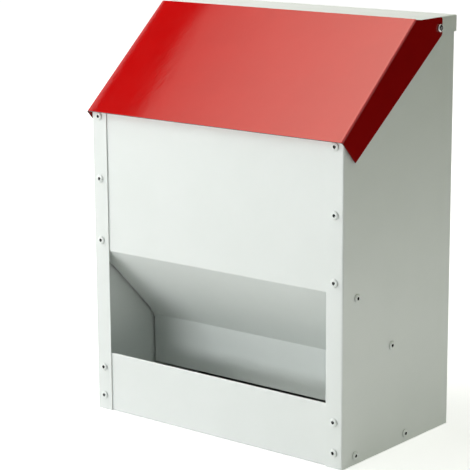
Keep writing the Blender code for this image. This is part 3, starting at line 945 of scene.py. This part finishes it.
def roundedOutline(corners, steps):
    # a closed outline with its corners rounded; corners are (a, b, radius)
    points = []
    spots = [Vector((a, b)) for a, b, _ in corners]
    for number, (_, _, radius) in enumerate(corners):
        spot = spots[number]
        if radius == 0:
            points.append(spot)
            continue
        back = (spots[number - 1] - spot).normalized()
        ahead = (spots[(number + 1) % len(spots)] - spot).normalized()
        half = back.angle(ahead) / 2
        centre = spot + (back + ahead).normalized() * (radius / math.sin(half))
        start = spot + back * (radius / math.tan(half)) - centre
        end = spot + ahead * (radius / math.tan(half)) - centre
        turn = end.angle_signed(start)
        for step in range(steps + 1):
            points.append(centre + Matrix.Rotation(turn * step / steps, 2) @ start)
    return points


def makeLid():
    values = lidValues
    reach, drop, steps = values["sheetReach"], values["shoulderDrop"], values["shoulderSteps"]
    # beside its left fold the sheet falls away a little, as pressed sheet does
    corners = [(-reach, lidOutside, 0.0), (0.0, lidOutside, values["rightFold"])]
    for step in range(steps + 1):
        bent = step / steps
        fromFold = values["leftFold"] + values["shoulderWidth"] * (1 - bent)
        corners.append((-drop * bent ** 2, -lidOutside + fromFold, 0.0))
    corners += [(-drop, -lidOutside, values["leftFold"]), (-reach, -lidOutside, 0.0)]
    turn = axesMatrix(lidSlope, lidOutward, (1, 0, 0), lidEdge)
    lid = sheetPiece("lidSheet", corners, -values["sheetSpare"], reach, redPaint, values["seed"], turn)

    def lidCorner(along, outward, radius=0.0):
        spot = lidEdge + lidSlope * along + lidOutward * outward
        return spot.y, spot.z, radius

    flapBack = pivot.y + values["flapBehindPivot"]
    outline = roundedOutline([
        lidCorner(0.0, fold),
        lidCorner(values["flapTipSetback"], -values["flapDepth"], values["flapTipRadius"]),
        (flapBack, pivot.z - values["flapBelowPivot"], values["flapBackRadius"]),
        (flapBack, bodyTop, values["flapBackRadius"]),
        (capLow.y + values["flapNotch"], bodyTop, 0.0),
        lidCorner(lidLength, -thick),
        lidCorner(lidLength, fold),
    ], values["flapRoundSteps"])
    cutBy(lid, prism("lidSideView", outline, -beyond, beyond), "INTERSECT")
    holes = [(side * lidOutside, pivot.y, pivot.z) for side in (-1, 1)]
    cutBy(lid, holePunch("pivotHoles", holes, "x", pivotHole))
    finishSheet(lid, "lid", ["lid"])

    def onFlap(face):
        return abs(face.center.x) > lidOutside - fold and abs(face.normal.x) > values["flapFacing"]

    # painted shade on the flaps and on the lid's cut edges
    paintFaces(lid, redFlapShade, onFlap)
    paintFaces(lid, redEdgeShade, lambda face: face.normal.dot(-lidSlope) > values["edgeFacing"])


makeLid()


# turned pieces: rivets, screws, washers and nuts

turnedMerge = 0.000003


def turnedMesh(tree, profile, sides):
    # profile is a list of (height, radius) sockets or numbers; the piece's axis is Z
    grid, row, column = pointGrid(tree, maths(tree, "ADD", sides, 1.0), len(profile))
    pick = tree.nodes.new("GeometryNodeIndexSwitch")
    pick.data_type = "VECTOR"
    while len(pick.index_switch_items) < len(profile):
        pick.index_switch_items.new()
    tree.links.new(output(row), pick.inputs["Index"])
    for number, (height, radius) in enumerate(profile):
        tree.links.new(output(combine(tree, X=radius, Z=height)), pick.inputs[number + 1])
    angle = maths(tree, "MULTIPLY", column, maths(tree, "DIVIDE", -math.tau, sides))
    radius = axisOf(tree, pick, "X")
    target = combine(
        tree, X=maths(tree, "MULTIPLY", radius, maths(tree, "COSINE", angle)),
        Y=maths(tree, "MULTIPLY", radius, maths(tree, "SINE", angle)), Z=axisOf(tree, pick, "Z"))
    placed = addNode(tree, "GeometryNodeSetPosition", {"Geometry": grid, "Position": target})
    return addNode(tree, "GeometryNodeMergeByDistance", {"Geometry": placed, "Distance": turnedMerge})


def quarterRound(tree, fromHeight, fromRadius, toHeight, toRadius, steps):
    # points from an outer low place to an inner high one, along a quarter of an ellipse
    points = []
    rise = maths(tree, "SUBTRACT", toHeight, fromHeight)
    spread = maths(tree, "SUBTRACT", fromRadius, toRadius)
    for step in range(steps + 1):
        angle = math.pi / 2 * step / steps
        points.append((maths(tree, "MULTIPLY_ADD", rise, math.sin(angle), fromHeight),
                       maths(tree, "MULTIPLY_ADD", spread, math.cos(angle), toRadius)))
    return points


def joined(tree, *shapes):
    join = addNode(tree, "GeometryNodeJoinGeometry")
    for shape in shapes:
        tree.links.new(output(shape), join.inputs[0])
    return join


def faceOut(tree):
    # turns a shape's Z to its point's own outward direction
    outward = attribute(tree, "outward", "FLOAT_VECTOR")
    return addNode(tree, "FunctionNodeAlignRotationToVector", {"Vector": outward}, axis="Z")


def setOut(tree, places, shape, turn):
    placed = addNode(tree, "GeometryNodeInstanceOnPoints", {
        "Points": places, "Instance": shape, "Rotation": turn})
    return addNode(tree, "GeometryNodeRealizeInstances", {"Geometry": placed})


def pointPiece(name, points, outward):
    mesh = bpy.data.meshes.new(name)
    mesh.from_pydata(points, [], [])
    layer = mesh.attributes.new("outward", "FLOAT_VECTOR", "POINT")
    layer.data.foreach_set("vector", [*outward] * len(points))
    return addObject(name, mesh)


rivetValues = {
    "Head Diameter": 0.0080,
    "Head Height": 0.0014,
    "Head Rim": 0.0003,
    "Shank Diameter": 0.0040,
    "Pit Diameter": 0.0031,
    "Pit Depth": 0.0017,
    "Mandrel Diameter": 0.0019,
    "Bulb Diameter": 0.0056,
    "Bulb Length": 0.0045,
    "Grip": 2 * thick + 2 * joinGap,
    "Seat": 0.0003,
    "Sides": 28,
    "Tilt": math.radians(1.4),
    "Seed": 11,
}
rivetSharpOver = math.radians(38.0)


def makeRivetTree():
    tree, given = newTree("GeometryNodeTree", "blindRivets", {
        "Places": "Geometry", **rivetValues, "Paint": "Material", "Mandrel": "Material"})
    headRadius, shank, pit, mandrel, bulb = (maths(tree, "MULTIPLY", given[part + " Diameter"], 0.5)
                                             for part in ("Head", "Shank", "Pit", "Mandrel", "Bulb"))
    seatRound, pitRound, pitDrop = 0.00012, 0.00018, 0.00010
    seat = given["Seat"]
    top = maths(tree, "ADD", seat, given["Head Height"])
    rimTop = maths(tree, "ADD", seat, given["Head Rim"])
    pitFloor = maths(tree, "SUBTRACT", top, given["Pit Depth"])
    # the bulb behind the sheets swells over the middle of its length
    inside = maths(tree, "MULTIPLY", given["Grip"], -1.0)
    end = maths(tree, "SUBTRACT", inside, given["Bulb Length"])
    swellEnd = maths(tree, "MULTIPLY_ADD", given["Bulb Length"], 0.22, end)
    swellStart = maths(tree, "MULTIPLY_ADD", given["Bulb Length"], -0.18, inside)
    shellProfile = [
        (end, 0.0), (end, shank), (swellEnd, bulb), (swellStart, bulb), (inside, shank), (seat, shank),
        (seat, maths(tree, "SUBTRACT", headRadius, seatRound)),
        *quarterRound(tree, rimTop, headRadius, top, maths(tree, "ADD", pit, pitRound), 6),
        (maths(tree, "SUBTRACT", top, pitDrop), pit), (pitFloor, pit), (pitFloor, 0.0)]
    shell = turnedMesh(tree, shellProfile, given["Sides"])
    painted = coated(tree, shell, given["Paint"])
    # no paint gets down into the pit; its bare steel is near black, partly painted shade of the hollow
    here = addNode(tree, "GeometryNodeInputPosition")
    flatHere = combine(tree, X=axisOf(tree, here, "X"), Y=axisOf(tree, here, "Y"))
    fromAxis = output(vectorMaths(tree, "LENGTH", flatHere), "Value")
    inPit = maths(tree, "MULTIPLY", maths(tree, "LESS_THAN", fromAxis, pit),
                  maths(tree, "GREATER_THAN", axisOf(tree, here, "Z"), -0.0005))
    painted = addNode(tree, "GeometryNodeSetMaterial", {
        "Geometry": painted, "Selection": inPit, "Material": given["Mandrel"]})
    # what is left of the mandrel: a stub that broke off a little below the head's top
    stubRise, stubRound, stubFlat, stubPeak, stubSunk = 0.35, 0.00012, 0.72, 0.00006, 0.00005
    stubTop = maths(tree, "MULTIPLY_ADD", given["Pit Depth"], stubRise, pitFloor)
    stubFoot = maths(tree, "SUBTRACT", pitFloor, stubSunk)
    stubProfile = [
        (stubFoot, 0.0), (stubFoot, mandrel), (maths(tree, "SUBTRACT", stubTop, stubRound), mandrel),
        (stubTop, maths(tree, "MULTIPLY", mandrel, stubFlat)),
        (maths(tree, "ADD", stubTop, stubPeak), 0.0)]
    stub = turnedMesh(tree, stubProfile, 12)
    # each one faces out of its sheet, rolled at random and a touch out of square
    turn = faceOut(tree)
    leanSeed = maths(tree, "ADD", given["Seed"], 5.0)
    for axis, most, seed in (((0, 0, 1), math.tau, given["Seed"]), ((1, 0, 0), given["Tilt"], leanSeed)):
        angle = addNode(tree, "FunctionNodeRandomValue", {3: most, "Seed": seed}, data_type="FLOAT")
        step = addNode(tree, "FunctionNodeAxisAngleToRotation", {"Axis": axis, "Angle": angle})
        turn = addNode(tree, "FunctionNodeRotateRotation", {"Rotation": turn, "Rotate By": step},
                       rotation_space="LOCAL")
    rivet = joined(tree, coated(tree, stub, given["Mandrel"]), painted)
    return endTree(tree, Geometry=setOut(tree, given["Places"], rivet, turn))


blindRivets = makeRivetTree()


def rivetRow(name, prefix, count, outward, seed):
    # one row of rivets, each on its own CAD rivet's place
    nodes = [f"{prefix}_{number}" for number in range(1, count + 1)]
    axis = max(range(3), key=lambda k: abs(outward[k]))
    points = []
    for node in nodes:
        low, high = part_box(node)
        point = (low + high) / 2
        reach = high if outward[axis] > 0 else low
        point[axis] = reach[axis] - outward[axis] * (rivetValues["Head Height"] + rivetValues["Seat"])
        points.append(point)
    row = pointPiece(name, points, outward)
    setInputs(row, blindRivets, dict(rivetValues, Seed=seed, Paint=whitePaint, Mandrel=pitShadeSteel))
    settle(row)
    handOver(row, "body", nodes, rivetSharpOver)


for side, word in ((-1, "left"), (1, "right")):
    rivetRow("frontRivets" + word.capitalize(), "front_rivet_" + word, 5, (0, -1, 0), 11 + side)
    rivetRow("sideRivets" + word.capitalize(), "side_rivet_" + word, 4, (side, 0, 0), 21 + side)
    rivetRow("backRivets" + word.capitalize(), "back_rivet_" + word, 4, (0, 1, 0), 31 + side)
rivetRow("capRivets", "cap_rivet", 3, (0, 1, 0), 41)
print("rivets set")


# pivots: pan head screw, washer and lock nut on each side

screwValues = {
    "Head Rim": 0.0008,
    "Shaft Diameter": 0.0040,
    "Thread Pitch": 0.0007,
    "Thread Depth": 0.00028,
    "Sides": 40,
}
nutValues = {
    "Washer Diameter": 0.009,
    "Washer Height": 0.0008,
    "Bore": 0.0046,
    "Across Corners": 0.0081,
    "Nut Height": 0.0032,
    "Collar Diameter": 0.0062,
    "Collar Height": 0.0018,
}
recessValues = {
    "arm": 0.0021,
    "width": 0.00045,
    "depth": 0.0013,
    "armTaper": 0.35,
    "widthTaper": 0.6,
    "turn": 0.5,
}
headFlatShare = 0.42
pivotSharpOver = math.radians(30.0)


def makeScrewTree():
    tree, given = newTree("GeometryNodeTree", "panHeadScrew", {
        "Places": "Geometry", "Head Diameter": 0.0085, "Head Height": 0.0026, "Flat Diameter": 0.0036,
        "Shaft Length": 0.014, **screwValues, "Steel": "Material"})
    tipTaper, tipLength, headRound, neckLow, neckHigh = 0.7, 0.0005, 0.00012, -0.0002, -0.0001
    threadStart, threadSpare = 0.0007, 0.0012
    head, flat, shaft = (maths(tree, "MULTIPLY", given[part + " Diameter"], 0.5)
                         for part in ("Head", "Flat", "Shaft"))
    core = maths(tree, "SUBTRACT", shaft, given["Thread Depth"])
    end = maths(tree, "MULTIPLY", given["Shaft Length"], -1.0)
    solid = turnedMesh(tree, [
        (end, 0.0), (end, maths(tree, "MULTIPLY", core, tipTaper)),
        (maths(tree, "ADD", end, tipLength), core), (neckLow, core), (neckHigh, shaft), (0.0, shaft),
        (0.0, maths(tree, "SUBTRACT", head, headRound)),
        *quarterRound(tree, given["Head Rim"], head, given["Head Height"], flat, 7),
        (given["Head Height"], 0.0),
    ], given["Sides"])
    # the thread is one small ridge that climbs the shaft
    length = maths(tree, "SUBTRACT", given["Shaft Length"], threadSpare)
    spiral = addNode(tree, "GeometryNodeCurveSpiral", {
        "Resolution": 18, "Rotations": maths(tree, "DIVIDE", length, given["Thread Pitch"]),
        "Start Radius": core, "End Radius": core, "Height": length})
    ridge = addNode(tree, "GeometryNodeCurvePrimitiveCircle", {
        "Resolution": 4, "Radius": given["Thread Depth"]}, mode="RADIUS")
    thread = addNode(tree, "GeometryNodeCurveToMesh", {
        "Curve": spiral, "Profile Curve": ridge, "Fill Caps": True})
    thread = addNode(tree, "GeometryNodeTransform", {
        "Geometry": thread, "Translation": combine(tree, Z=maths(tree, "ADD", end, threadStart))})
    real = setOut(tree, given["Places"], joined(tree, thread, solid), faceOut(tree))
    return endTree(tree, Geometry=coated(tree, real, given["Steel"]))


def makeNutTree():
    tree, given = newTree("GeometryNodeTree", "lockNutAndWasher", {
        "Places": "Geometry", "Nut Start": 0.0011, **nutValues, "Steel": "Material",
        "Ring": "Material"})
    washerEdge, nutEdge, nutChamfer, collarLap, collarRound = 0.00015, 0.00035, 0.90, 0.0002, 0.00035
    bore, washer, corner, collar = (
        maths(tree, "MULTIPLY", given[label], 0.5)
        for label in ("Bore", "Washer Diameter", "Across Corners", "Collar Diameter"))

    def plus(place, step):
        return maths(tree, "ADD", place, step)

    def edged(top, low, inner, outer, edge):
        # a ring round the bore whose two outer edges are cut back
        return [(top, bore), (top, inner), (plus(top, -edge), outer), (plus(low, edge), outer),
                (low, inner), (low, bore), (top, bore)]

    washerLow = maths(tree, "MULTIPLY", given["Washer Height"], -1.0)
    nutTop = maths(tree, "MULTIPLY", given["Nut Start"], -1.0)
    nutLow = maths(tree, "SUBTRACT", nutTop, given["Nut Height"])
    low = maths(tree, "SUBTRACT", nutLow, given["Collar Height"])
    disc = turnedMesh(tree, edged(0.0, washerLow, plus(washer, -washerEdge), washer, washerEdge), 32)
    chamfer = maths(tree, "MULTIPLY", corner, nutChamfer)
    hexagon = turnedMesh(tree, edged(nutTop, nutLow, chamfer, corner, nutEdge), 6)
    lapped = plus(nutLow, collarLap)
    crown = turnedMesh(tree, [
        (lapped, bore), (lapped, collar), (plus(low, 0.0004), collar), (low, plus(collar, -collarRound)),
        (low, plus(bore, 0.00045)), (plus(low, 0.0002), bore), (lapped, bore)], 28)
    steel = coated(tree, joined(tree, crown, hexagon, disc), given["Steel"])
    # the plastic ring inside the collar
    ringTop, ringOut = plus(low, 0.0009), plus(bore, 0.0005)
    plastic = turnedMesh(tree, [
        (ringTop, bore), (ringTop, ringOut), (plus(low, 0.00012), ringOut), (plus(low, 0.00006), bore),
        (ringTop, bore)], 24)
    both = joined(tree, coated(tree, plastic, given["Ring"]), steel)
    return endTree(tree, Geometry=setOut(tree, given["Places"], both, faceOut(tree)))


panHeadScrew = makeScrewTree()
lockNutAndWasher = makeNutTree()


def crossRecess(screw, side, top):
    # a tapered cross, cut into the head
    shape = bmesh.new()
    halves = Vector((recessValues["depth"], recessValues["arm"], recessValues["width"]))
    for turn in (0, math.pi / 2):
        made = bmesh.ops.create_cube(shape, size=2.0)["verts"]
        bmesh.ops.scale(shape, vec=halves, verts=made)
        for vert in made:
            if vert.co.x * side < 0:
                vert.co.y *= recessValues["armTaper"]
                vert.co.z *= recessValues["widthTaper"]
        spin = Matrix.Rotation(turn + recessValues["turn"], 3, "X")
        bmesh.ops.rotate(shape, verts=made, cent=(0, 0, 0), matrix=spin)
        bmesh.ops.translate(shape, verts=made, vec=(top, pivot.y, pivot.z))
    cutBy(screw, shapeObject("crossCut", shape), crossed=True)


def makePivot(side, word):
    def ends(node):
        # the end towards the feeder's middle, then the outer one
        low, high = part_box(node + word)
        return (low.x, high.x) if side > 0 else (high.x, low.x)

    low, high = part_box("pivot_screw_" + word)
    tip, headTop = ends("pivot_screw_")
    washerFace, nutFace = ends("pivot_washer_")[1], ends("pivot_nut_")[1]
    seat = side * (lidOutside + joinGap)
    diameter, height = high.z - low.z, abs(headTop - seat)
    screw = pointPiece("pivotScrew" + word.capitalize(), [(seat, pivot.y, pivot.z)], (side, 0, 0))
    setInputs(screw, panHeadScrew, {
        **screwValues, "Head Diameter": diameter, "Head Height": height,
        "Flat Diameter": diameter * headFlatShare, "Shaft Length": abs(seat - tip),
        "Steel": zincSteel})
    settle(screw)
    crossRecess(screw, side, seat + side * height)
    settle(screw)
    nut = pointPiece("pivotNut" + word.capitalize(), [(washerFace, pivot.y, pivot.z)], (side, 0, 0))
    setInputs(nut, lockNutAndWasher, {
        **nutValues, "Nut Start": abs(washerFace - nutFace), "Steel": zincSteel, "Ring": nylon})
    settle(nut)
    handOver(screw, "body", ["pivot_screw_" + word], pivotSharpOver)
    nodes = ["pivot_washer_" + word, "pivot_nut_" + word]
    handOver(nut, "body", nodes, pivotSharpOver)


makePivot(-1, "left")
makePivot(1, "right")
print("pivots made")


# floor, light and camera

stageValues = {
    "floorSize": 9.0,
    "floorDrop": 0.0002,
    "floorColour": (0.80, 0.80, 0.80, 1.0),
    "floorGlow": 0.62,
    "floorGlowFar": 1.0,
    "glowSpan": (0.5, 1.4),
    "ambient": 0.03,
}


def seenDirectly(tree):
    # 1 for what the camera sees, in reflections and through glass too, and 0 for light on the object
    path = addNode(tree, "ShaderNodeLightPath")
    seen = maths(tree, "ADD", path.outputs["Is Camera Ray"], path.outputs["Is Glossy Ray"])
    return maths(tree, "ADD", seen, path.outputs["Is Transmission Ray"], clamp=True)


def blankMaterial(name):
    material = bpy.data.materials.new(name)
    material.use_nodes = True
    material.node_tree.nodes.clear()
    return material, material.node_tree


def makeFloor():
    shape = bmesh.new()
    bmesh.ops.create_grid(shape, x_segments=1, y_segments=1, size=stageValues["floorSize"] / 2)
    floor = shapeObject("floor", shape)
    floor.location.z = -stageValues["floorDrop"]
    material, tree = blankMaterial("floorWhite")
    plain = addNode(tree, "ShaderNodeBsdfDiffuse", {"Color": stageValues["floorColour"]})
    place = output(addNode(tree, "ShaderNodeTexCoord"), "Object")
    away = output(vectorMaths(tree, "LENGTH", place), "Value")
    glow = remap(tree, away, stageValues["glowSpan"])
    glow.inputs["To Min"].default_value = stageValues["floorGlow"]
    glow.inputs["To Max"].default_value = stageValues["floorGlowFar"]
    light = addNode(tree, "ShaderNodeEmission", {"Strength": glow})
    lit = addNode(tree, "ShaderNodeAddShader", {0: plain, 1: light})
    both = addNode(tree, "ShaderNodeMixShader", {0: seenDirectly(tree), 1: plain, 2: lit})
    addNode(tree, "ShaderNodeOutputMaterial", {"Surface": both})
    spreadNodes(tree)
    floor.data.materials.append(material)
    floor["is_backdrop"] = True


def makeWorld():
    world = bpy.data.worlds.new("studio")
    bpy.context.scene.world = world
    world.use_nodes = True
    tree = world.node_tree
    back = tree.nodes["Background"]
    back.inputs["Color"].default_value = (1.0, 1.0, 1.0, 1.0)
    strength = addNode(tree, "ShaderNodeMix", {
        "Factor": seenDirectly(tree), "A": stageValues["ambient"], "B": 1.0})
    tree.links.new(output(strength), back.inputs["Strength"])
    spreadNodes(tree)


lampValues = {
    "keyLeft": {"place": (-1.8, -0.9, 1.6), "size": (1.2, 1.2), "power": 37.0,
                "tint": (0.99, 0.965, 0.945)},
    "farLeft": {"place": (-2.2, -2.4, 2.0), "size": (1.4, 1.4), "power": 6.8},
    "overhead": {"place": (-0.9, -0.1, 2.6), "size": (1.2, 1.2), "power": 18.0, "inGloss": False},
    "frontHigh": {"place": (-0.3, -2.2, 1.5), "size": (1.4, 1.4), "power": 4.8},
    "stripLow": {"place": (-0.75, -1.9, 0.36), "aim": (0.0, 0.0, 0.1), "size": (1.4, 0.35),
                 "power": 15.0, "tint": (0.95, 0.985, 1.0)},
    "rightTop": {"place": (1.0, 0.6, 2.1), "size": (1.2, 1.2), "power": 10.2,
                 "tint": (0.91, 1.0, 0.68)},
    "rightLow": {"place": (0.80, 0.30, 0.10), "aim": (0.15, 0.0, 0.05), "size": (0.5, 0.1),
                 "power": 0.27},
    "rightFloor": {"place": (0.45, 0.05, 0.03), "aim": (0.15, 0.05, 0.03), "size": (0.6, 0.05),
                   "power": 0.21},
}
lampAim = (0.0, 0.0, 0.2)


def makeLamps():
    for name, values in lampValues.items():
        lamp = bpy.data.lights.new(name, "AREA")
        lamp.shape = "RECTANGLE"
        lamp.size, lamp.size_y = values["size"]
        lamp.energy = values["power"]
        lamp.color = values.get("tint", (1.0, 1.0, 1.0))
        holder = addObject(name, lamp)
        down = Vector(values.get("aim", lampAim)) - Vector(values["place"])
        holder.location = values["place"]
        holder.rotation_euler = down.to_track_quat("-Z", "Y").to_euler()
        holder.visible_camera = False
        holder.visible_glossy = values.get("inGloss", True)


# Cards that only reflections see, each given by four corners in a plane with its own origin and directions.
# The lid shows the black one on its left, and over the rest of it the glowing one, brighter to the right.
cardValues = {
    "lidCard": {"plane": "overLid",
                "corners": [(-0.06, -0.8), (0.064, -0.8), (-0.022, 0.8), (-0.19, 0.8)]},
    "lidGlow": {"plane": "overLid",
                "corners": [(0.064, -0.8), (0.60, -0.8), (0.60, 0.8), (-0.022, 0.8)],
                "glow": (0.80, 5.9), "tint": (1.20, 1.0, 0.84, 1.0)},
    "sideCard": {"plane": "besideSide",
                 "corners": [(-0.65, -0.5), (0.65, -0.5), (0.65, 0.5), (-0.65, 0.5)]},
}
cardPlanes = {
    "overLid": ((-1.028, 0.049, 1.5), (0.8, -0.6, 0.0), (0.6, 0.8, 0.0)),
    "besideSide": ((0.95, 1.0, 0.40), (0.837, -0.548, 0.0), (0.0, 0.0, 1.0)),
}


def cardMaterial(name, glow, tint):
    # glow is the strength at the plane's origin, and how much it grows for each metre to the right
    material, tree = blankMaterial(name)
    across = axisOf(tree, output(addNode(tree, "ShaderNodeTexCoord"), "Object"), "X")
    strength = maths(tree, "MULTIPLY_ADD", across, glow[1], glow[0])
    light = addNode(tree, "ShaderNodeEmission", {"Strength": strength, "Color": tint})
    addNode(tree, "ShaderNodeOutputMaterial", {"Surface": light})
    spreadNodes(tree)
    return material


def makeCards():
    for name, values in cardValues.items():
        mesh = bpy.data.meshes.new(name)
        mesh.from_pydata([(a, b, 0.0) for a, b in values["corners"]], [], [(0, 1, 2, 3)])
        glow, tint = values.get("glow", (0.0, 0.0)), values.get("tint", (1.0, 1.0, 1.0, 1.0))
        mesh.materials.append(cardMaterial(name, glow, tint))
        card = addObject(name, mesh)
        origin, right, up = cardPlanes[values["plane"]]
        card.matrix_world = axesMatrix(right, up, Vector(right).cross(Vector(up)), origin)
        card.visible_camera = False
        card.visible_diffuse = False
        card.visible_shadow = False
        card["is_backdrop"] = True


cameraValues = {
    "place": (1.0719, -1.3644, 0.5729),
    "azimuth": math.radians(39.249),
    "elevation": math.radians(12.700),
    "roll": math.radians(-0.348),
    "lens": 141.19,
    "sensor": 36.0,
}


def makeCamera():
    az, el, roll = (cameraValues[name] for name in ("azimuth", "elevation", "roll"))
    forward = Vector((-math.sin(az) * math.cos(el), math.cos(az) * math.cos(el), -math.sin(el)))
    level = Vector((math.cos(az), math.sin(az), 0.0))
    right = level * math.cos(roll) + level.cross(forward) * math.sin(roll)
    camera = bpy.data.cameras.new("camera")
    camera.lens = cameraValues["lens"]
    camera.sensor_width = cameraValues["sensor"]
    holder = addObject("camera", camera)
    holder.matrix_world = axesMatrix(right, right.cross(forward), -forward, cameraValues["place"])
    bpy.context.scene.camera = holder


makeFloor()
makeWorld()
makeLamps()
makeCards()
makeCamera()
bpy.context.scene.view_settings.view_transform = "Standard"
print("stage and camera set")


def keepInside(piece):
    # no vertex of a wavy sheet or a tilted rivet stands outside the CAD model's box
    low, high = cadBounds
    for vert in piece.data.vertices:
        vert.co = [min(max(part, low[k]), high[k]) for k, part in enumerate(vert.co)]


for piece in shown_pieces():
    keepInside(piece)
